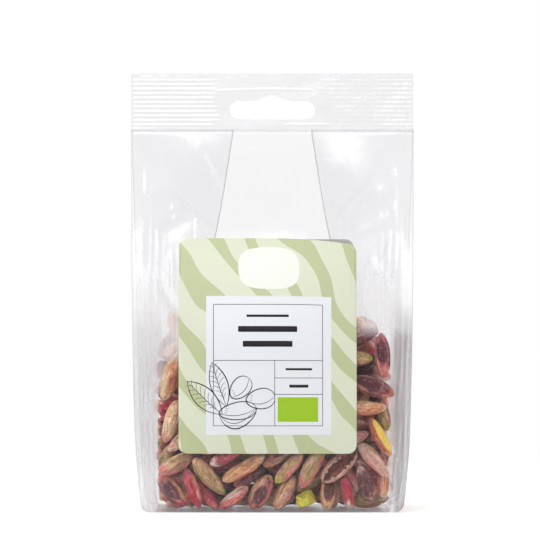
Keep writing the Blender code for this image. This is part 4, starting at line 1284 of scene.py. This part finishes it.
def kernel_grid(half, radius, rng, rings, spokes):
    """A kernel lying along X: rings of points between two end points.

    The radius follows the root of 1 - t^2, fuller towards one end and drawn to a small tip at the other.
    The section is slightly flat, with a seam ridge on one side and lengthwise wrinkles as cosines around
    the kernel that drift along it, and a few shallow dents. Every point stays inside the given radius."""
    t, turn = ring_places(rings, spokes)
    fuller = rng.uniform(-0.10, 0.10)
    tip = rng.uniform(0.10, 0.22)
    profile = np.sqrt(1 - t * t) ** rng.uniform(0.86, 1.02)
    profile = profile * (1 + fuller * t) * (1 - tip * eased(t, 0.35, 1.0) * 0.6) * 0.98
    wrinkles = 0 * t * turn
    for k in range(7):
        waves = int(rng.integers(3, 15))
        depth = rng.uniform(0.6, 1.0) * 0.17 / math.sqrt(waves)
        drift = rng.uniform(-1, 1) * np.sin(t * rng.uniform(1.5, 3.5) + rng.uniform(0, 6.3))
        wrinkles += depth * (1 - np.abs(np.cos((waves * turn + 2.0 * drift + rng.uniform(0, 6.3)) / 2)))
    dents = 0 * t * turn
    for k in range(int(rng.integers(2, 5))):
        at, around = rng.uniform(-0.7, 0.7), rng.uniform(0, 2 * math.pi)
        off = apart(turn, around)
        dents += rng.uniform(0.03, 0.09) * np.exp(-(((t - at) / 0.25) ** 2) - (off / 0.45) ** 2)
    seam = apart(turn, rng.uniform(0, 2 * math.pi))
    ridge = 0.05 * np.exp(-((seam / 0.12) ** 2)) * (1 - t * t)
    flat = rng.uniform(0.84, 0.95)
    lay = rng.uniform(0, math.pi)
    oval = 1 / np.sqrt(np.cos(turn - lay) ** 2 + (np.sin(turn - lay) / flat) ** 2)
    r = radius * profile * np.minimum(oval * (1 - wrinkles - dents + ridge), 1.0)
    bend = rng.uniform(-0.06, 0.06) * radius
    x = half * t * (1 - 0.015 * np.cos(turn)) + 0 * turn
    points = np.stack([x, r * np.cos(turn), r * np.sin(turn) + bend * (1 - 2 * t * t)], axis=-1)
    ends = np.array([[-half, 0, -bend], [half, 0, -bend]])
    return points, ends, t + 0 * turn, turn + 0 * t


def kernel_faces(rings, spokes):
    """Faces of rings of points stored after each other, closed by fans to the two end points after them."""
    around = np.arange(spokes)
    following = (around + 1) % spokes
    low = rings * spokes
    start = low - spokes
    low_cap = np.stack([following, around, around * 0 + low], axis=1)
    high_cap = np.stack([start + around, start + following, around * 0 + low + 1], axis=1)
    return quads(rings, spokes, around=True), np.concatenate([low_cap, high_cap])


def carried(points, place, axis):
    """Moves points from a kernel's own frame to the bag's: its length along the axis, its second
    direction away from the viewer as far as it can be."""
    away = np.array([0.0, 1.0, 0.0]) - axis * axis[1]
    away = away / max(np.linalg.norm(away), 1e-6)
    return place + points @ np.stack([axis, away, np.cross(axis, away)])


def whole_kernel(number, half, radius, look, roll, rings, spokes):
    """Points with the two end points last, colours, flesh mask and faces of an unbroken kernel."""
    rng = np.random.default_rng(1000 + number)
    points, ends, t, turn = kernel_grid(half * KERNEL_EASE, radius * KERNEL_EASE, rng, rings, spokes)
    facing = math.pi - turn  # the kernel's second direction points away from the viewer
    shade = painted_skin(t, facing, points, look, rng, roll).reshape(-1, 3)
    points = np.concatenate([points.reshape(-1, 3), ends])
    tips = np.stack([shade[:spokes].mean(axis=0), shade[-spokes:].mean(axis=0)])
    return points, np.concatenate([shade, tips]), np.zeros(len(points)), kernel_faces(rings, spokes)


def cut_kernel(number, half, radius, look, rings, spokes):
    """A kernel sliced flat on its upper side towards the viewer: points past the plane are brought back
    onto it, and the flesh shows yellow and green there."""
    points, shade, _, faces = whole_kernel(number, half, radius, look, 0.0, rings, spokes)
    normal = np.array([0.0, -0.62, 0.78])
    normal /= np.linalg.norm(normal)
    past = points @ normal - radius * 0.42
    patches = eased(cloud(points, np.random.default_rng(5), 5.0), 0, 0.8)
    shade = mixed(shade, linear("yellow"), eased(past, -0.15, 0.25))
    shade = mixed(shade, linear("green"), eased(past, 0.1, 0.3) * 0.35 * patches)
    points = points - np.maximum(past, 0)[:, None] * normal
    return points, shade, eased(past, -0.1, 0.2), faces


def chunk_kernel(number, half, radius, rings, spokes):
    """A skinned broken piece: in each direction the distance is a soft minimum over random planes, so
    it has flat faces and dull edges. Yellow-green all over."""
    rng = np.random.default_rng(1000 + number)
    t, turn = ring_places(rings, spokes)
    out = np.sqrt(1 - t * t)
    ways = np.stack([t + 0 * turn, out * np.cos(turn), out * np.sin(turn)], axis=-1)
    ways = np.concatenate([ways.reshape(-1, 3), [[-1, 0, 0], [1, 0, 0]]])
    planes = rng.normal(size=(CHUNK_PLANES, 3))
    planes /= np.linalg.norm(planes, axis=1)[:, None]
    reach = rng.uniform(0.6, 1.05, CHUNK_PLANES)
    away = (np.maximum(ways @ planes.T, 0) / reach) ** 6
    bumps = 1 + 0.10 * cloud(ways * 10, rng, 9.0) + 0.06 * cloud(ways * 10, rng, 4.5)
    points = ways * (bumps / away.sum(axis=1) ** (1 / 6))[:, None] * np.array([half, radius, radius])
    points = np.clip(points, [-half, -radius, -radius], [half, radius, radius])
    spots = cloud(points, rng, 4.0)
    shade = mixed(linear("lime") + 0 * points, linear("green"), eased(spots, 0.0, 0.9))
    shade = mixed(shade, linear("yellow"), 0.8 * eased(-spots, 0.2, 0.9))
    return points, shade, np.ones(len(points)), kernel_faces(rings, spokes)


def shell_kernel(number, half, radius, rings, spokes):
    """An empty skin, split open towards the viewer: an outer and an inner wall that meet in a ragged
    rim. Around it, the first half of the points runs over the outside and the rest back inside."""
    rng = np.random.default_rng(1000 + number)
    t, _ = ring_places(rings, spokes)
    outer = spokes // 2
    s = np.linspace(-1, 1, outer)[None, :]
    rag = 0.10 * np.sin(t * 23 + 1.0) + 0.08 * np.sin(t * 41) + 0.05 * np.sin(t * 67 + 2)
    open_by = 0.46 + 0.22 * (1 - t * t) + 1.3 * rag
    angles = s * (math.pi - open_by)
    profile = np.sqrt(1 - t * t) ** 0.9
    wrinkle = 1 - 0.03 * np.abs(np.cos(angles * 5 + 3 * t))
    flare = 1 + 0.10 * np.abs(s) ** 4
    walls = []
    for gap, narrower in ((0.0, 0.98), (SHELL_WALL, 0.96)):
        r = np.maximum(radius * profile * wrinkle * narrower - gap, 0.05)
        x = half * t * (0.985 - gap * 0.03) + 0 * s
        walls.append(np.stack([x, r * flare * np.cos(angles), r * flare * 0.98 * np.sin(angles)], axis=-1))
    points = np.concatenate([walls[0], walls[1][:, ::-1]], axis=1)
    ragged = cloud(points, rng, 3.0)
    outside = mixed(linear("rose") + 0 * points, linear("tan"), eased(ragged, -0.2, 0.8))
    inside = mixed(linear("brown") + 0 * points, linear("rust"), eased(ragged, -0.4, 0.9))
    rim = np.concatenate([np.abs(s), np.abs(s)[:, ::-1]], axis=1) + 0 * t
    is_inside = (np.arange(2 * outer) >= outer)[None, :] + 0 * t
    shade = outside + (inside - outside) * is_inside[..., None]
    shade = mixed(shade, linear("pink"), eased(rim, 0.76, 0.93))
    shade = mixed(shade, linear("pale"), 0.8 * eased(rim, 0.88, 1.0) * eased(ragged, -0.6, 0.4))
    points = points.reshape(-1, 3)
    ends = np.array([[-half, radius * 0.1, 0], [half, radius * 0.1, 0]])
    shade = np.concatenate([shade.reshape(-1, 3), [linear("pink"), linear("pink")]])
    return np.concatenate([points, ends]), shade, np.zeros(len(points) + 2), kernel_faces(rings, 2 * outer)


def grain_group():
    """The skin's pattern from a place in the kernel, which has its length along X: dark veins where
    stretched noise crosses its middle value, mottling, and the relief of both."""
    tree, taken, given = group(
        "kernel_grain",
        [("Place", "NodeSocketVector"), ("Flesh", "NodeSocketFloat")],
        [("Veins", "NodeSocketFloat"), ("Mottle", "NodeSocketFloat"), ("Height", "NodeSocketFloat")],
    )
    place = taken.outputs["Place"]
    stretched = add(tree, "VectorMath", {0: place, 1: (0.22, 1.0, 1.0)}, operation="MULTIPLY")[0]
    lines = noise(tree, stretched, 1.15, 3.0, Distortion=0.8)
    off = chain(tree, "ABSOLUTE", chain(tree, "SUBTRACT", lines, 0.5))
    skinned = chain(tree, "SUBTRACT", 1.0, taken.outputs["Flesh"])
    veins = chain(tree, "MULTIPLY", ramp(tree, off, (0.0, 0.06), 1.0, 0.0), skinned)
    spots = noise(tree, place, 0.8, 5.0, Roughness=0.65)
    relief = chain(tree, "ADD", chain(tree, "ADD", chain(tree, "MULTIPLY", veins, -0.45), lines), spots)
    for label, value in (("Veins", veins), ("Mottle", spots), ("Height", relief)):
        tree.links.new(value, given.inputs[label])
    return tree


def skin_look():
    """Kernel skin: the painted colour, darker in the veins, then dusted paler where the mottling is high and
    deepened where it is low, with the grain's relief. Where the flesh shows there are no veins."""
    look, tree = new_look("kernel_skin")
    skin_colour, place, flesh = (
        add(tree, "Attribute", attribute_name=kept)[socket]
        for kept, socket in (("skin", "Color"), ("grain", "Vector"), ("flesh", "Fac"))
    )
    pattern = add(tree, "Group", {"Place": place, "Flesh": flesh}, node_tree=grain_group())
    mottle = pattern["Mottle"]
    veins = chain(tree, "MULTIPLY", pattern["Veins"], 0.85)
    shade = painted(tree, skin_colour, veins, (0.60, 0.38, 0.36, 1), "MULTIPLY")
    shade = painted(tree, shade, ramp(tree, mottle, (0.52, 0.78), 0.0, 0.5), colour(240, 202, 176))
    deeper = ramp(tree, mottle, (0.46, 0.26), 0.0, 0.4)
    shade = painted(tree, shade, deeper, (0.55, 0.38, 0.40, 1), "MULTIPLY")
    dull = chain(tree, "MULTIPLY_ADD", mottle, 0.35, 0.30)
    relief = bumped(tree, pattern["Height"], 0.9, 0.0009)
    body = {"Specular IOR Level": 0.42, "Base Color": shade, "Roughness": dull, "Normal": relief}
    return finished(look, add(tree, "BsdfPrincipled", body)[0])


def kernel_piece(name, built, look):
    """One piece from several kernels, each given as points in the bag's frame, own grain places, colour,
    flesh mask and faces."""
    count, faces = 0, []
    for points, *_, (sides, caps) in built:
        faces += [sides + count, caps + count]
        count += len(points)
    points, grain, shade, flesh = (np.concatenate([kernel[k] for kernel in built]) for k in range(4))
    made = piece(name, points, faces, look)
    attribute(made, "grain", "FLOAT_VECTOR", grain)
    shade = np.concatenate([np.clip(shade, 0.003, 0.95), np.ones((count, 1))], axis=1)
    attribute(made, "skin", "FLOAT_COLOR", shade)
    attribute(made, "flesh", "FLOAT", flesh)
    return made


def build_kernel(k, rings, spokes, laid_number=0):
    """Kernel k in the bag's frame, with its broken forms for the laid ones that have them."""
    half, radius, axis = float(halves[k]), float(radii[k]), axes[k]
    if laid_number:
        look, roll = (LAID_LOOKS[laid_number - 1], LAID_FACES.get(laid_number)), 0.0
        across, up = LAID_AXES[laid_number - 1]
        if axis[0] * across + axis[2] * up < 0:
            axis = -axis
    else:
        chosen = int(rolls[k] * 7919) % len(OTHER_LOOKS)
        look = OTHER_LOOKS[chosen], OTHER_FACES.get(chosen + 1)
        roll = 2 * math.pi * float(rolls[k] * 31 % 1)
    if laid_number == CHUNK:
        made = chunk_kernel(k, half, radius, rings, spokes)
    elif laid_number == SPLIT_SHELL:
        made = shell_kernel(k, half, radius, rings, spokes + 10)
    elif laid_number == CUT:
        made = cut_kernel(k, half, radius, look, rings, spokes)
    else:
        made = whole_kernel(k, half, radius, look, roll, rings, spokes)
    points, shade, flesh, faces = made
    grain = points + 37.0 * np.array([rolls[k], rolls[k] * 7 % 1, rolls[k] * 13 % 1]) * 3
    return carried(points, places[k], axis), grain, shade, flesh, faces


FRONT_GRID = (34, 44)  # rings and points in a ring
LAID_AXES = [(math.cos(math.radians(row[2])), math.sin(math.radians(row[2]))) for row in LAID]
places, axes, halves, radii, rolls = settled()
skin = skin_look()
behind_film = panel_depth(places[:, 0], places[:, 2]) + places[:, 1]
behind_film[: len(LAID)] -= 100
order = np.argsort(behind_film, kind="stable")
front = sorted(int(k) for k in order[:SEPARATE_KERNELS])
for number, k in enumerate(front, start=1):
    laid_number = k + 1 if k < len(LAID) else 0
    built = build_kernel(k, *FRONT_GRID, laid_number)
    grain = kernel_piece(f"kernel_{number:02d}_skin", [built], skin)
    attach(grain, "root")
    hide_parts(f"kernel_{number:02d}")

# ---------------------------------------------------------------- the kernels behind them
# The rest of the filling: those that show through the gussets, the back panel and from above carry the
# same skin, and the ones buried in the middle are plainer.

BURIED = 12.5  # a kernel whose middle is deeper in the heap than this never shows

REST_GRID, BURIED_GRID = (20, 26), (5, 8)

rest = [int(k) for k in order[SEPARATE_KERNELS:]]
x, y, z = places.T
to_front = behind_film
to_back = panel_depth(x, z) - y
to_side = gusset_reach(x, y, z) - np.abs(x)
nearest = np.minimum.reduce([to_front, to_back, to_side, under_top(x, y, z)])
zone_names = ("behind_front", "at_back_left", "at_back_right", "at_left", "at_right", "on_top", "inside")
zones = {zone: [] for zone in zone_names}
for k in sorted(rest):
    if nearest[k] > BURIED:
        zones["inside"].append(k)
    elif nearest[k] == to_front[k]:
        zones["behind_front"].append(k)
    elif nearest[k] == to_back[k]:
        zones["at_back_left" if places[k, 0] < 0 else "at_back_right"].append(k)
    elif nearest[k] == to_side[k]:
        zones["at_left" if places[k, 0] < 0 else "at_right"].append(k)
    else:
        zones["on_top"].append(k)
for zone, members in zones.items():
    if not members:
        continue
    grid = BURIED_GRID if zone == "inside" else REST_GRID
    filling = kernel_piece(f"kernels_{zone}", [build_kernel(k, *grid) for k in members], skin)
    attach(filling, "root")
    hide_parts("kernel_heap")
